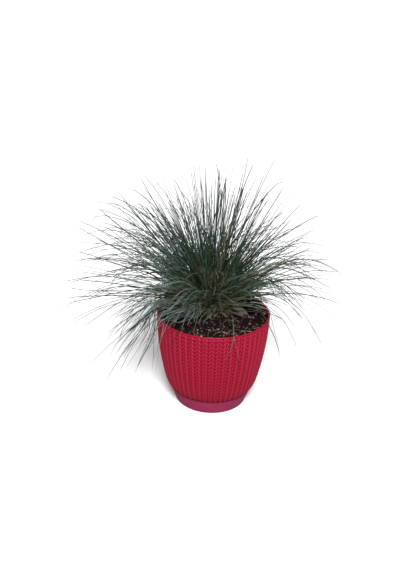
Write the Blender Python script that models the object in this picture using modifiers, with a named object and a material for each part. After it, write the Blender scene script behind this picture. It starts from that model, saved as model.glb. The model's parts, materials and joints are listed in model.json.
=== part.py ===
"""Potted blue fescue: a knit-pattern plastic pot on a clip-on tray, potting soil and a grass clump.

Metres, +Z up. The origin is the centre of the tray's flat underside, where the pot stands.
The grass is a tussock base, the crown, with tufts of four arching blades seated all over it.
"""

import math
import random
from typing import NamedTuple

import bmesh
import bpy
from mathutils import Matrix, Vector, noise

# Pot
POT_HEIGHT = 0.108  # from the floor to the top of the rim
RIM_RADIUS = 0.063
BODY_HEIGHT = 0.089  # rim down to the ledge that sits on the tray
BOW = 0.0127  # how far the body narrows evenly on its way down
TUCK = 0.0021  # extra narrowing where the body turns under, just above the ledge
TUCK_POWER = 24
WALL = 0.0024
SPIGOT_RADIUS = 0.0400  # the pot's bottom, which drops into the tray
SPIGOT_DEPTH = 0.008
BODY_LEVELS = 7
KNIT_COLUMNS = 52  # columns of knit stitches round the body
KNIT_GROOVE = 0.0010  # depth of the groove between two columns
KNIT_START = 0.0030  # where the grooves begin, below the top of the rim

# Tray
ROUND_STEPS = 36  # of the tray and the soil
TRAY_TOP_RADIUS = 0.0470
TRAY_FOOT_RADIUS = 0.0411
TRAY_WALL = 0.0020
TRAY_EDGE = 0.0010

# Soil and bark
SOIL_DEPTH_BELOW_RIM = 0.0095
SOIL_MOUND = 0.0022
SOIL_MOUND_SPREAD = 0.035
SOIL_LUMP = 0.0008  # height of the lumps
SOIL_LUMPS_PER_M = 90.0
SOIL_RINGS = (0.018, 0.034, 0.048)
BARK_SIZE = (0.0105, 0.0065, 0.0030)
BARK_PLACE = (0.033, 0.012)
BARK_TURN = math.radians(24)
BARK_TAPER = 0.22

# Grass clump
CROWN_CENTRE = Vector((-0.003, 0.029, POT_HEIGHT - 0.0085))
CROWN_RADIUS = 0.025
CROWN_HEIGHT = 0.023
CROWN_SUNK = 0.008  # how far the crown goes on below its widest ring
SHEATH = 0.0040  # side of the square sheath that a tuft's blades leave
SHEATH_HEIGHT = 0.0030
SIDE_SPREAD = math.radians(6.0)  # how far a tuft's outer blades lean sideways, and up or down
RISE_SPREAD = math.radians(4.5)
DROOP_POWER = 2.5  # a blade bends mostly in its thin outer half
BLADE_LENGTHS = (1.00, 0.88, 0.95, 0.82)
BLADE_SWELL = 0.9
BLADE_TAPER = 0.75


class Ring(NamedTuple):
    """A ring of tufts round the crown. Angles are in degrees, bearings run from +X to +Y."""

    name: str
    tufts: int
    seat: float  # slope of the spot on the crown, 90 at its top
    rise: float  # rise of the blades at the root
    first_bearing: float
    bearing_step: float
    length: float
    droop: float  # fall of the tip below a straight blade, as a share of the length
    steps: int  # lengths that a blade bends in


RINGS = (
    Ring("upright", 4, 80.0, 82.0, 20.0, 90.0, 0.156, 0.02, 3),
    Ring("steep", 8, 69.0, 69.0, 42.0, 45.0, 0.158, 0.04, 3),
    Ring("raised", 11, 56.0, 57.0, 10.0, 32.7, 0.155, 0.08, 4),
    Ring("middle", 12, 44.0, 47.0, 17.0, 30.0, 0.146, 0.16, 4),
    Ring("spreading", 10, 33.0, 38.0, -28.0, 30.0, 0.144, 0.36, 5),
    Ring("falling", 9, 22.0, 42.0, -13.0, 30.0, 0.119, 0.85, 5),
)
SHORTEST, LONGEST = 0.88, 1.08  # spread of the tufts' lengths
BEARING_SPREAD = 2.0
FALL_BEARING = 203.0  # the side where the falling tufts hang far over the rim
FALL_DROOP = 0.28
FALL_LENGTH = 0.021
LONG_BEARING = 185.0  # the side where flat tufts are longer than elsewhere, and steep ones shorter
LONG_SHARE = 1.10
EVEN_RISE = 51.7  # tufts that rise like this are as long there as elsewhere

GAP = 0.0003  # between pieces that touch
FIT = 0.0005  # between the soil and the pot's wall
MERGE = 0.00001

LEDGE_Z = POT_HEIGHT - BODY_HEIGHT
SPIGOT_Z = LEDGE_Z - SPIGOT_DEPTH
SOIL_Z = POT_HEIGHT - SOIL_DEPTH_BELOW_RIM


def clear_scene():
    for item in list(bpy.data.objects):
        bpy.data.objects.remove(item, do_unlink=True)


def new_collection(name):
    collection = bpy.data.collections.new(name)
    bpy.context.scene.collection.children.link(collection)
    return collection


def plain_material(name, colour, roughness):
    material = bpy.data.materials.new(name)
    material.use_nodes = True
    shader = material.node_tree.nodes["Principled BSDF"]
    shader.inputs["Base Color"].default_value = (*colour, 1.0)
    shader.inputs["Roughness"].default_value = roughness
    shader.inputs["Metallic"].default_value = 0.0
    return material


def add_object(name, mesh, collection, material=None):
    item = bpy.data.objects.new(name, mesh)
    collection.objects.link(item)
    if material:
        mesh.materials.append(material)
    return item


def mesh_from(bm, name):
    bmesh.ops.recalc_face_normals(bm, faces=bm.faces)
    mesh = bpy.data.meshes.new(name)
    bm.to_mesh(mesh)
    bm.free()
    return mesh


def turned(name, profile, collection, material, steps=ROUND_STEPS):
    """Turn a profile of (radius, height) points, which runs down its outer side, about Z."""
    mesh = bpy.data.meshes.new(name)
    edges = [(i, i + 1) for i in range(len(profile) - 1)]
    mesh.from_pydata([(radius, 0.0, height) for radius, height in profile], edges, [])
    item = add_object(name, mesh, collection, material)
    screw = item.modifiers.new("Turn", "SCREW")
    screw.steps = steps
    screw.render_steps = steps
    screw.use_merge_vertices = True
    screw.merge_threshold = MERGE
    screw.use_smooth_shade = True
    return item


def made_solid(item, name, collection):
    """Replace an object by a mesh object of what its modifiers make of it."""
    seen = item.evaluated_get(bpy.context.evaluated_depsgraph_get())
    mesh = bpy.data.meshes.new_from_object(seen)
    bpy.data.objects.remove(item, do_unlink=True)
    mesh.name = name
    return add_object(name, mesh, collection)


# ---- pot, tray, soil -------------------------------------------------------------------------


def body_radius(height):
    """Outer radius of the pot's body at a height above the floor."""
    down = (POT_HEIGHT - height) / BODY_HEIGHT
    return RIM_RADIUS - BOW * down**2 - TUCK * down**TUCK_POWER


def body_heights():
    """Heights down the body, closer together near the ledge, where it curves most."""
    turns = [math.pi / 2 * level / BODY_LEVELS for level in range(1, BODY_LEVELS + 1)]
    return [POT_HEIGHT - BODY_HEIGHT * math.sin(turn) for turn in turns]


def lip_arc():
    """Points over the rounded rim, from the inner wall to the outer one."""
    half = WALL / 2
    middle = RIM_RADIUS - half
    turns = [math.radians(angle) for angle in (180, 90, 0)]
    return [(middle + half * math.cos(a), POT_HEIGHT - half + half * math.sin(a)) for a in turns]


def groove_columns(mesh):
    """Split every level of the body's outside midway between two column lines, and sink the splits."""
    bm = bmesh.new()
    bm.from_mesh(mesh)
    levels = []
    for edge in bm.edges:
        ends = [vertex.co for vertex in edge.verts]
        level = abs(ends[0].z - ends[1].z) < MERGE and LEDGE_Z - MERGE < ends[0].z < POT_HEIGHT - WALL
        if level and all(abs(end.xy.length - body_radius(end.z)) < MERGE for end in ends):
            levels.append(edge)
    split = bmesh.ops.subdivide_edges(bm, edges=levels, cuts=1)
    for vertex in split["geom_inner"]:
        if isinstance(vertex, bmesh.types.BMVert):
            vertex.co.xy *= (body_radius(vertex.co.z) - KNIT_GROOVE) / vertex.co.xy.length
    bm.to_mesh(mesh)
    bm.free()


def make_pot(collection):
    """Turn the pot's shell, with one step for each column of the knit, and groove its outside."""
    knit_top_z = POT_HEIGHT - KNIT_START
    outer = [(body_radius(z), z) for z in (knit_top_z, *body_heights())]
    floor_z = SPIGOT_Z + WALL
    inner_ledge_z = LEDGE_Z + WALL
    wall_in = [(body_radius(z) - WALL, z) for z in reversed(body_heights()[::2]) if z > inner_ledge_z]
    inside = [
        (0.0, floor_z),
        (SPIGOT_RADIUS - WALL, floor_z),
        (SPIGOT_RADIUS - WALL, inner_ledge_z),
        (body_radius(inner_ledge_z) - WALL, inner_ledge_z),
    ]
    below = [(SPIGOT_RADIUS, LEDGE_Z), (SPIGOT_RADIUS, SPIGOT_Z), (0.0, SPIGOT_Z)]
    profile = inside + wall_in + lip_arc() + outer + below
    blank = turned("pot_blank", profile, collection, None, KNIT_COLUMNS)
    pot = made_solid(blank, "pot", collection)
    groove_columns(pot.data)
    pot.data.materials.append(plain_material("crimson_plastic", (0.36, 0.03, 0.07), 0.42))
    return pot


def make_tray(collection):
    top_z = LEDGE_Z - GAP
    profile = [
        (0.0, TRAY_WALL),
        (TRAY_FOOT_RADIUS - TRAY_WALL, TRAY_WALL),
        (TRAY_TOP_RADIUS - TRAY_WALL, top_z),
        (TRAY_TOP_RADIUS - TRAY_EDGE / 2, top_z),
        (TRAY_TOP_RADIUS, top_z - TRAY_EDGE),
        (TRAY_FOOT_RADIUS + TRAY_EDGE / 4, TRAY_EDGE),
        (TRAY_FOOT_RADIUS - TRAY_EDGE, 0.0),
        (0.0, 0.0),
    ]
    material = plain_material("rose_plastic", (0.30, 0.04, 0.10), 0.35)
    return turned("drip_tray", profile, collection, material)


def soil_height(x, y):
    """Height of the soil: a low mound round the crown, with lumps."""
    away = math.hypot(x - CROWN_CENTRE.x, y - CROWN_CENTRE.y) / SOIL_MOUND_SPREAD
    lumps = noise.noise(Vector((x, y, 0.0)) * SOIL_LUMPS_PER_M)
    return SOIL_Z + SOIL_MOUND * math.exp(-away * away) + SOIL_LUMP * lumps


def make_soil(collection, cutters):
    """Fill the pot to just under its rim, and leave a socket for the crown."""
    slack = WALL + FIT
    inner_ledge_z = LEDGE_Z + slack
    bottom_z = SPIGOT_Z + slack
    side = [(body_radius(z) - slack, z) for z in body_heights()[::2] if inner_ledge_z < z < SOIL_Z]
    top = [(radius, SOIL_Z) for radius in SOIL_RINGS] + [(body_radius(SOIL_Z) - slack, SOIL_Z)]
    below = [
        (body_radius(inner_ledge_z) - slack, inner_ledge_z),
        (SPIGOT_RADIUS - slack, inner_ledge_z),
        (SPIGOT_RADIUS - slack, bottom_z),
        (0.0, bottom_z),
    ]
    blank = turned("soil_blank", [(0.0, SOIL_Z)] + top + side + below, collection, None)
    soil = made_solid(blank, "soil", collection)
    for vertex in soil.data.vertices:
        if vertex.co.z > SOIL_Z - MERGE:
            vertex.co.z = soil_height(vertex.co.x, vertex.co.y)
    soil.data.materials.append(plain_material("peat", (0.030, 0.017, 0.015), 0.95))
    socket = add_object("crown_socket", crown_mesh("crown_socket", GAP), cutters)
    socket.hide_render = True
    socket.display_type = "WIRE"
    cut = soil.modifiers.new("Socket", "BOOLEAN")
    cut.operation = "DIFFERENCE"
    cut.object = socket
    return soil


def make_bark(collection):
    """One flat chip of bark that lies on the soil by the rim."""
    bm = bmesh.new()
    bmesh.ops.create_cube(bm, size=1.0, matrix=Matrix.Diagonal((*BARK_SIZE, 1.0)))
    bmesh.ops.subdivide_edges(bm, edges=bm.edges, cuts=1, use_grid_fill=True)
    for vertex in bm.verts:
        taper = 1.0 - BARK_TAPER * (2 * vertex.co.x / BARK_SIZE[0]) ** 2
        vertex.co.y *= taper
        vertex.co.z *= taper
    bmesh.ops.rotate(bm, verts=bm.verts, cent=(0, 0, 0), matrix=Matrix.Rotation(BARK_TURN, 3, "Z"))
    x, y = BARK_PLACE
    highest = max(soil_height(x + v.co.x, y + v.co.y) for v in bm.verts)
    lowest = min(v.co.z for v in bm.verts)
    bmesh.ops.translate(bm, verts=bm.verts, vec=(x, y, highest - lowest + GAP))
    material = plain_material("bark", (0.16, 0.12, 0.10), 0.9)
    return add_object("bark_chip", mesh_from(bm, "bark_chip"), collection, material)


# ---- grass clump -----------------------------------------------------------------------------


def crown_mesh(name, grown):
    """The crown's dome, cut flat below its widest ring, grown outwards by a clearance."""
    size = Matrix.Diagonal((CROWN_RADIUS + grown, CROWN_RADIUS + grown, CROWN_HEIGHT + grown, 1.0))
    bm = bmesh.new()
    place = Matrix.Translation(CROWN_CENTRE) @ size
    bmesh.ops.create_uvsphere(bm, u_segments=20, v_segments=10, radius=1.0, matrix=place)
    base = CROWN_CENTRE - Vector((0.0, 0.0, CROWN_SUNK + grown))
    whole = bm.verts[:] + bm.edges[:] + bm.faces[:]
    bmesh.ops.bisect_plane(bm, geom=whole, plane_co=base, plane_no=(0, 0, 1), clear_inner=True)
    bmesh.ops.holes_fill(bm, edges=[edge for edge in bm.edges if edge.is_boundary])
    return mesh_from(bm, name)


def make_crown(collection):
    crown = add_object("crown", crown_mesh("crown", 0.0), collection)
    crown.data.materials.append(plain_material("tussock_base", (0.06, 0.08, 0.05), 0.8))
    return crown


def heading(bearing, rise):
    """Unit vector from a bearing and a rise in degrees."""
    turn = math.radians(bearing)
    up = math.radians(rise)
    return Vector((math.cos(turn) * math.cos(up), math.sin(turn) * math.cos(up), math.sin(up)))


def facing(bearing, side):
    """1 for a bearing straight to a side, down to 0 for one across it or behind."""
    return max(0.0, math.cos(math.radians(bearing - side)))


def crown_seat(normal):
    """The point of the dome whose surface faces along a normal."""
    wide = CROWN_RADIUS**2
    tall = CROWN_HEIGHT**2
    reach = math.sqrt(wide * (normal.x**2 + normal.y**2) + tall * normal.z**2)
    return CROWN_CENTRE + Vector((wide * normal.x, wide * normal.y, tall * normal.z)) / reach


def blade_width(along):
    """Width of a blade against its width at the sheath: fullest near the root, then to a point."""
    return (1.0 + BLADE_SWELL * along) * (1.0 - along) ** BLADE_TAPER


def grow_blade(bm, face, lean, length, droop, steps):
    """Draw one face of the sheath out along an arch, down to a point."""
    start = face.calc_center_median()
    offsets = [vertex.co - start for vertex in face.verts]
    down = Vector((0.0, 0.0, -1.0))
    for step in range(1, steps + 1):
        along = step / steps
        face = bmesh.ops.extrude_discrete_faces(bm, faces=[face])["faces"][0]
        centre = start + length * (along * lean + droop * along**DROOP_POWER * down)
        slope = DROOP_POWER * droop * along ** (DROOP_POWER - 1)
        turn = lean.rotation_difference(lean + slope * down)
        for vertex, offset in zip(face.verts, offsets):
            vertex.co = centre + turn @ (offset * blade_width(along))
    bmesh.ops.pointmerge(bm, verts=face.verts, merge_co=centre)


def tuft_mesh(name, seat_normal, axis, length, droop, steps, first_blade):
    """A square sheath seated on the crown, its end split into four faces that grow into blades."""
    tilt = seat_normal.angle(axis)
    root = crown_seat(seat_normal) + seat_normal * (GAP + SHEATH * math.sin(tilt) / 2)
    side = Vector((0.0, 0.0, 1.0)).cross(axis).normalized()
    place = Matrix((side, axis.cross(side), axis)).transposed().to_4x4()
    place.translation = root + axis * SHEATH_HEIGHT / 2
    size = Matrix.Diagonal((SHEATH, SHEATH, SHEATH_HEIGHT, 1.0))
    bm = bmesh.new()
    bmesh.ops.create_cube(bm, size=1.0, matrix=place @ size)
    end = max(bm.faces, key=lambda face: face.calc_center_median().dot(axis))
    middle = end.calc_center_median()
    blades = bmesh.ops.poke(bm, faces=[end])["faces"]
    for number, face in enumerate(blades):
        outward = (face.calc_center_median() - middle).normalized()
        spread = SIDE_SPREAD if abs(outward.dot(side)) > 0.5 else RISE_SPREAD
        lean = (axis + math.tan(spread) * outward).normalized()
        share = BLADE_LENGTHS[(number + first_blade) % len(BLADE_LENGTHS)]
        grow_blade(bm, face, lean, length * share, droop, steps)
    return mesh_from(bm, name)


def blade_colour(seat):
    """Greener for the low tufts, bluer and paler for the steep ones."""
    height = seat / 90.0
    return (0.09 + 0.04 * height, 0.14 + 0.04 * height, 0.12 + 0.08 * height)


def make_tufts(collection):
    chance = random.Random(13)
    count = 0
    for ring in RINGS:
        material = plain_material(f"blades_{ring.name}", blade_colour(ring.seat), 0.6)
        flatness = math.cos(math.radians(ring.rise)) - math.cos(math.radians(EVEN_RISE))
        for index in range(ring.tufts):
            count += 1
            name = f"tuft_{count:02d}"
            bearing = ring.first_bearing + ring.bearing_step * index
            bearing += chance.uniform(-BEARING_SPREAD, BEARING_SPREAD)
            fall = facing(bearing, FALL_BEARING) ** 2 if ring.name == "falling" else 0.0
            length = ring.length * chance.uniform(SHORTEST, LONGEST) + FALL_LENGTH * fall
            length *= 1.0 + LONG_SHARE * flatness * facing(bearing, LONG_BEARING)
            droop = ring.droop + FALL_DROOP * fall
            seat = heading(bearing, ring.seat)
            axis = heading(bearing, ring.rise)
            mesh = tuft_mesh(name, seat, axis, length, droop, ring.steps, count)
            add_object(name, mesh, collection, material)


def main():
    clear_scene()
    clump = new_collection("potted_blue_fescue")
    cutters = new_collection("cutters")
    make_tray(clump)
    make_pot(clump)
    make_soil(clump, cutters)
    make_bark(clump)
    make_crown(clump)
    make_tufts(clump)


main()
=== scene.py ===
"""Looks of a potted blue fescue clump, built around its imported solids.

Metres, +Z up, in the frame's own place: the origin is the centre of the tray's flat underside.
The pot and tray are turned and knitted over, the soil is strewn with crumbs, and every solid tuft
is replaced by thin blades that follow its four guide blades.
"""

import json
import logging
import math
from dataclasses import dataclass
from enum import Enum
from typing import Callable, Sequence

import bmesh
import bpy
import numpy as np
from mathutils import Matrix, Vector, noise


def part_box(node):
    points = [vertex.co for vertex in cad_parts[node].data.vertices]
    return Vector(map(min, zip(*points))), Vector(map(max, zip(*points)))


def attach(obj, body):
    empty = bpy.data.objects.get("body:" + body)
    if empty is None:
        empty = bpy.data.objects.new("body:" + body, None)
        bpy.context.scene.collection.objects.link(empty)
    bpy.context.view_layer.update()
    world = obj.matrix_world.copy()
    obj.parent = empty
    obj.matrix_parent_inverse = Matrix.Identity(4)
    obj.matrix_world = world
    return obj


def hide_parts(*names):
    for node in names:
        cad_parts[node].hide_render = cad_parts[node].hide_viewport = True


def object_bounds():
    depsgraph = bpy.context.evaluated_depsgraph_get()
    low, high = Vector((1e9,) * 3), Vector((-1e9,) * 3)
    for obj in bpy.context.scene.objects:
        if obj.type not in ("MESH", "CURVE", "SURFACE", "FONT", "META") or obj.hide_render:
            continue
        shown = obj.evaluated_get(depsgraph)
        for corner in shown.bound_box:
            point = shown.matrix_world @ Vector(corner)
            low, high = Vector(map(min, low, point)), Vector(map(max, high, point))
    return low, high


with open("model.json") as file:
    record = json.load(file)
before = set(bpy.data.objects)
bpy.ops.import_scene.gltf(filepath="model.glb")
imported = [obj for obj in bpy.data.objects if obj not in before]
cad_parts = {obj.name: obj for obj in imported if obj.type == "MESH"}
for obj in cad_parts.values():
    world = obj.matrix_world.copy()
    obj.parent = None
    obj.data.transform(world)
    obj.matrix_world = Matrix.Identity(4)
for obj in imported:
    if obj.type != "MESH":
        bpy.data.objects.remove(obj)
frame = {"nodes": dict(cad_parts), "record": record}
CAD_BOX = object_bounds()
CROWN_LOW, CROWN_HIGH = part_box("crown")
CROWN_MIDDLE = (CROWN_LOW + CROWN_HIGH) / 2
CROWN_HALF = (CROWN_HIGH - CROWN_LOW) / 2

LOG = logging.getLogger("fescue")
BODY = "root"
WELD = 1e-6  # points of a solid that are closer than this are one
NEAR = 1e-5  # rings and rows meet within this
UP = np.array((0.0, 0.0, 1.0))
NEARLY_UP = (0.02, 0.01, 1.0)  # never quite along a blade, even an upright one

BLADE_MAP = "blade"  # UV map of a blade: along it, and the lot drawn for it
# this relief drives the knit's painted groove shade and painted strand highlight
RELIEF = "relief"  # 0 in a groove of the knit to 1 on a strand
LOT = "lot"  # a number drawn for each loose bit
DRY = "dry"  # 0 for a living blade to 1 for a dead one

Span = tuple[float, float]
Colour = tuple[float, float, float]
Profile = Sequence[Span]  # radius and height of one ring after another
Waves = tuple[float, float]  # noise waves to a metre, and how many finer ones lie on them
Bump = tuple[float, float]  # depth in metres, and strength
Step = tuple[float, float]  # where a number starts to count, and the slope from there
Tones = dict[str, Colour | float]  # what a ring's finish has of its own
Piece = bpy.types.Object
Socket = bpy.types.NodeSocket
Chance = np.random.Generator


# ---- shader maths ----


class Value:
    """A number in a shader, which Python's arithmetic joins by Math nodes."""

    def __init__(self, bench: "Bench", socket: Socket) -> None:
        """Keep the socket and the bench that it is on."""
        self.bench, self.socket = bench, socket

    def __add__(self, other: "Value | float") -> "Value":
        """Sum."""
        return self.bench.maths("ADD", self, other)

    def __radd__(self, other: "Value | float") -> "Value":
        """Sum, from the right."""
        return self.bench.maths("ADD", other, self)

    def __sub__(self, other: "Value | float") -> "Value":
        """Difference."""
        return self.bench.maths("SUBTRACT", self, other)

    def __rsub__(self, other: "Value | float") -> "Value":
        """Difference, from the right."""
        return self.bench.maths("SUBTRACT", other, self)

    def __mul__(self, other: "Value | float") -> "Value":
        """Product."""
        return self.bench.maths("MULTIPLY", self, other)

    def __rmul__(self, other: "Value | float") -> "Value":
        """Product, from the right."""
        return self.bench.maths("MULTIPLY", other, self)

    def clipped(self) -> "Value":
        """The number kept between 0 and 1."""
        return self.bench.maths("MINIMUM", self.bench.maths("MAXIMUM", self, 0.0), 1.0)

    def past(self, start: float, slope: float) -> "Value":
        """How far the number is past a start, times a slope, kept between 0 and 1."""
        return ((self - start) * slope).clipped()


class Bench:
    """The node tree of one new material, with its Principled shader."""

    def __init__(self, name: str) -> None:
        """Start a material.

        Args:
            name: The material's name.
        """
        self.material = bpy.data.materials.new(name)
        self.material.use_nodes = True
        self.tree = self.material.node_tree
        self.shader = self.tree.nodes["Principled BSDF"]

    def node(self, kind: str, settings: dict | None = None, sockets: dict | None = None) -> bpy.types.Node:
        """Add any node.

        Args:
            kind: The node's type.
            settings: Properties to set first; "stops" are a ramp's places and colours.
            sockets: Values or links of the input sockets, by name, identifier or number.

        Returns:
            The new node.
        """
        made = self.tree.nodes.new(kind)
        for name, setting in (settings or {}).items():
            if name == "stops":
                self._set_stops(made.color_ramp, setting)
            else:
                setattr(made, name, setting)
        for name, value in (sockets or {}).items():
            self.plug(self._input(made, name), value)
        return made

    @staticmethod
    def _input(node: bpy.types.Node, name: str | int) -> Socket:
        """Find an input socket.

        Args:
            node: The node.
            name: The socket's number, identifier or name.

        Returns:
            The input socket.
        """
        if isinstance(name, int):
            return node.inputs[name]
        matches = [socket for socket in node.inputs if socket.identifier == name]
        return matches[0] if matches else node.inputs[name]

    @staticmethod
    def _set_stops(ramp: bpy.types.ColorRamp, stops: Sequence[tuple[float, Colour]]) -> None:
        """Give a ramp its stops.

        Args:
            ramp: The ramp.
            stops: A place from 0 to 1 and a colour for each stop.
        """
        while len(ramp.elements) > 1:
            ramp.elements.remove(ramp.elements[-1])
        for number, (place, colour) in enumerate(stops):
            stop = ramp.elements[0] if number == 0 else ramp.elements.new(place)
            stop.position = place
            stop.color = (*colour, 1.0)

    def plug(self, socket: Socket, value: object) -> None:
        """Set an input socket to a value, or link it.

        Args:
            socket: An input socket.
            value: A number, a colour, a Value or an output socket.
        """
        if isinstance(value, Value):
            value = value.socket
        if isinstance(value, Socket):
            self.tree.links.new(value, socket)
        elif isinstance(value, tuple) and socket.type == "RGBA":
            socket.default_value = (*value, 1.0)
        else:
            socket.default_value = value

    def maths(self, operation: str, first: Value | float, second: Value | float) -> Value:
        """Join two numbers by a Math node."""
        made = self.node("ShaderNodeMath", {"operation": operation}, {0: first, 1: second})
        return Value(self, made.outputs[0])

    def mix(self, share: Value | float, first: object, second: object) -> Socket:
        """Mix two colours.

        Args:
            share: The second colour's share.
            first: A colour or a colour socket.
            second: A colour or a colour socket.

        Returns:
            The colour socket.
        """
        sockets = {"Factor_Float": share, "A_Color": first, "B_Color": second}
        made = self.node("ShaderNodeMix", {"data_type": "RGBA"}, sockets)
        return next(socket for socket in made.outputs if socket.identifier == "Result_Color")

    def ramp(self, value: Value, stops: Sequence[tuple[float, Colour]]) -> Socket:
        """The colour of a ramp at a number."""
        return self.node("ShaderNodeValToRGB", {"stops": stops}, {"Fac": value}).outputs["Color"]

    def noise(self, scale: float, detail: float) -> Value:
        """Noise over the object.

        Args:
            scale: Waves to a metre.
            detail: Finer waves on them.

        Returns:
            The noise, around a half.
        """
        place = self.node("ShaderNodeTexCoord").outputs["Object"]
        sockets = {"Vector": place, "Scale": scale, "Detail": detail}
        return Value(self, self.node("ShaderNodeTexNoise", None, sockets).outputs["Fac"])

    def attribute(self, name: str) -> Value:
        """A number that the mesh's points carry."""
        return Value(self, self.node("ShaderNodeAttribute", {"attribute_name": name}).outputs["Fac"])

    def along_and_lot(self) -> tuple[Value, Value]:
        """Read a blade's UV map.

        Returns:
            How far along its blade a point lies, and the lot of its blade.
        """
        uv = self.node("ShaderNodeUVMap", {"uv_map": BLADE_MAP}).outputs["UV"]
        split = self.node("ShaderNodeSeparateXYZ", None, {"Vector": uv})
        return Value(self, split.outputs["X"]), Value(self, split.outputs["Y"])

    def bump(self, height: Value, deep: float, strength: float) -> None:
        """Raise the surface by a number times a depth in metres."""
        sockets = {"Height": height, "Distance": deep, "Strength": strength}
        self.plug(self.shader.inputs["Normal"], self.node("ShaderNodeBump", None, sockets).outputs["Normal"])

    def finish(self, **sockets: object) -> bpy.types.Material:
        """Set the shader's sockets, and hand over the material.

        Args:
            sockets: Values or links, by the sockets' names with _ for a space.

        Returns:
            The material.
        """
        for name, value in sockets.items():
            self.plug(self.shader.inputs[name.replace("_", " ")], value)
        return self.material


# ---- finishes ----


@dataclass(frozen=True)
class KnitPlastic:
    """Satin moulded plastic, with painted shade down in the grooves of its relief and a painted highlight
    along its strands.
    """

    # painted shade: the groove colour darkens the recesses of the relief; random mottle also darkens patches
    # towards it
    groove_shade_and_mottle: Colour = (0.29, 0.0032, 0.022)
    wall: Colour = (0.365, 0.0055, 0.032)
    # painted highlight: the crest colour lightens the top of every strand, in place of a glint
    painted_crest_highlight: Colour = (0.80, 0.120, 0.200)
    wall_from: float = 0.30
    highlight_from: float = 0.82
    mottled: Step = (0.35, 0.30)
    mottle: Waves = (60.0, 3.0)
    grain: Waves = (2600.0, 2.0)
    grain_bump: Bump = (0.00005, 0.4)
    roughness: float = 0.30
    rougher_groove: float = 0.15
    rougher_mottle: float = 0.1
    shine: float = 0.16

    def material(self) -> bpy.types.Material:
        """Make the finish.

        Returns:
            The material.
        """
        bench = Bench("knit_plastic")
        relief = bench.attribute(RELIEF)
        mottle = bench.noise(*self.mottle)
        mottled_from, mottled = self.mottled
        wall = (self.wall_from, self.wall), (self.highlight_from, self.wall)
        stops = ((0.0, self.groove_shade_and_mottle), *wall, (1.0, self.painted_crest_highlight))
        # painted shade in the grooves from the ramp, then random mottle towards the same dark colour
        colour = bench.mix((mottle - mottled_from) * mottled, bench.ramp(relief, stops), self.groove_shade_and_mottle)
        bench.bump(bench.noise(*self.grain), *self.grain_bump)
        rough = self.roughness + self.rougher_groove * (1.0 - relief) + self.rougher_mottle * (mottle - 0.5)
        return bench.finish(Base_Color=colour, Roughness=rough, Specular_IOR_Level=self.shine)


@dataclass(frozen=True)
class SmoothPlastic:
    """Plain satin plastic with a fine moulding grain."""

    colour: Colour = (0.32, 0.020, 0.078)
    worn: Colour = (0.37, 0.035, 0.105)
    worn_past: Step = (0.5, 3.0)
    mottle: Waves = (140.0, 5.0)
    grain: Waves = (1800.0, 2.0)
    grain_bump: Bump = (0.00004, 0.3)
    roughness: float = 0.30
    rougher_mottle: float = 0.2

    def material(self) -> bpy.types.Material:
        """Make the finish.

        Returns:
            The material.
        """
        bench = Bench("smooth_plastic")
        mottle = bench.noise(*self.mottle)
        bench.bump(bench.noise(*self.grain), *self.grain_bump)
        colour = bench.mix(mottle.past(*self.worn_past), self.colour, self.worn)
        return bench.finish(Base_Color=colour, Roughness=self.roughness + self.rougher_mottle * mottle)


@dataclass(frozen=True)
class DampPeat:
    """Dark, red-brown, rough peat."""

    dark: Colour = (0.004, 0.002, 0.002)
    warm: Colour = (0.015, 0.006, 0.006)
    light: Colour = (0.12, 0.070, 0.060)
    warm_past: Step = (0.4, 4.0)
    light_past: Step = (0.62, 6.0)
    lumps: Waves = (420.0, 6.0)
    specks: Waves = (1900.0, 4.0)
    crumb_bump: Bump = (0.0006, 0.7)
    roughness: float = 0.75
    rougher_lumps: float = 0.2
    shine: float = 0.05

    def material(self) -> bpy.types.Material:
        """Make the finish.

        Returns:
            The material.
        """
        bench = Bench("damp_peat")
        lumps, specks = bench.noise(*self.lumps), bench.noise(*self.specks)
        colour = bench.mix(lumps.past(*self.warm_past), self.dark, self.warm)
        colour = bench.mix(specks.past(*self.light_past), colour, self.light)
        bench.bump(specks + lumps, *self.crumb_bump)
        rough = self.roughness + self.rougher_lumps * lumps
        return bench.finish(Base_Color=colour, Roughness=rough, Specular_IOR_Level=self.shine)


@dataclass(frozen=True)
class Strewn:
    """Loose bits, each with the colour of its own lot."""

    name: str
    stops: tuple[tuple[float, Colour], ...]
    streaks_per_m: float
    roughness: float
    streak: Colour = (0.012, 0.007, 0.006)
    streak_share: float = 0.6
    streak_past: Step = (0.45, 2.5)
    streak_detail: float = 5.0
    streak_bump: Bump = (0.0003, 0.6)
    rougher_streaks: float = 0.1
    shine: float = 0.2

    def material(self) -> bpy.types.Material:
        """Make the finish.

        Returns:
            The material.
        """
        bench = Bench(self.name)
        streaks = bench.noise(self.streaks_per_m, self.streak_detail)
        colour = bench.ramp(bench.attribute(LOT), self.stops)
        colour = bench.mix(streaks.past(*self.streak_past) * self.streak_share, colour, self.streak)
        bench.bump(streaks, *self.streak_bump)
        rough = self.roughness + self.rougher_streaks * streaks
        return bench.finish(Base_Color=colour, Roughness=rough, Specular_IOR_Level=self.shine)


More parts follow.
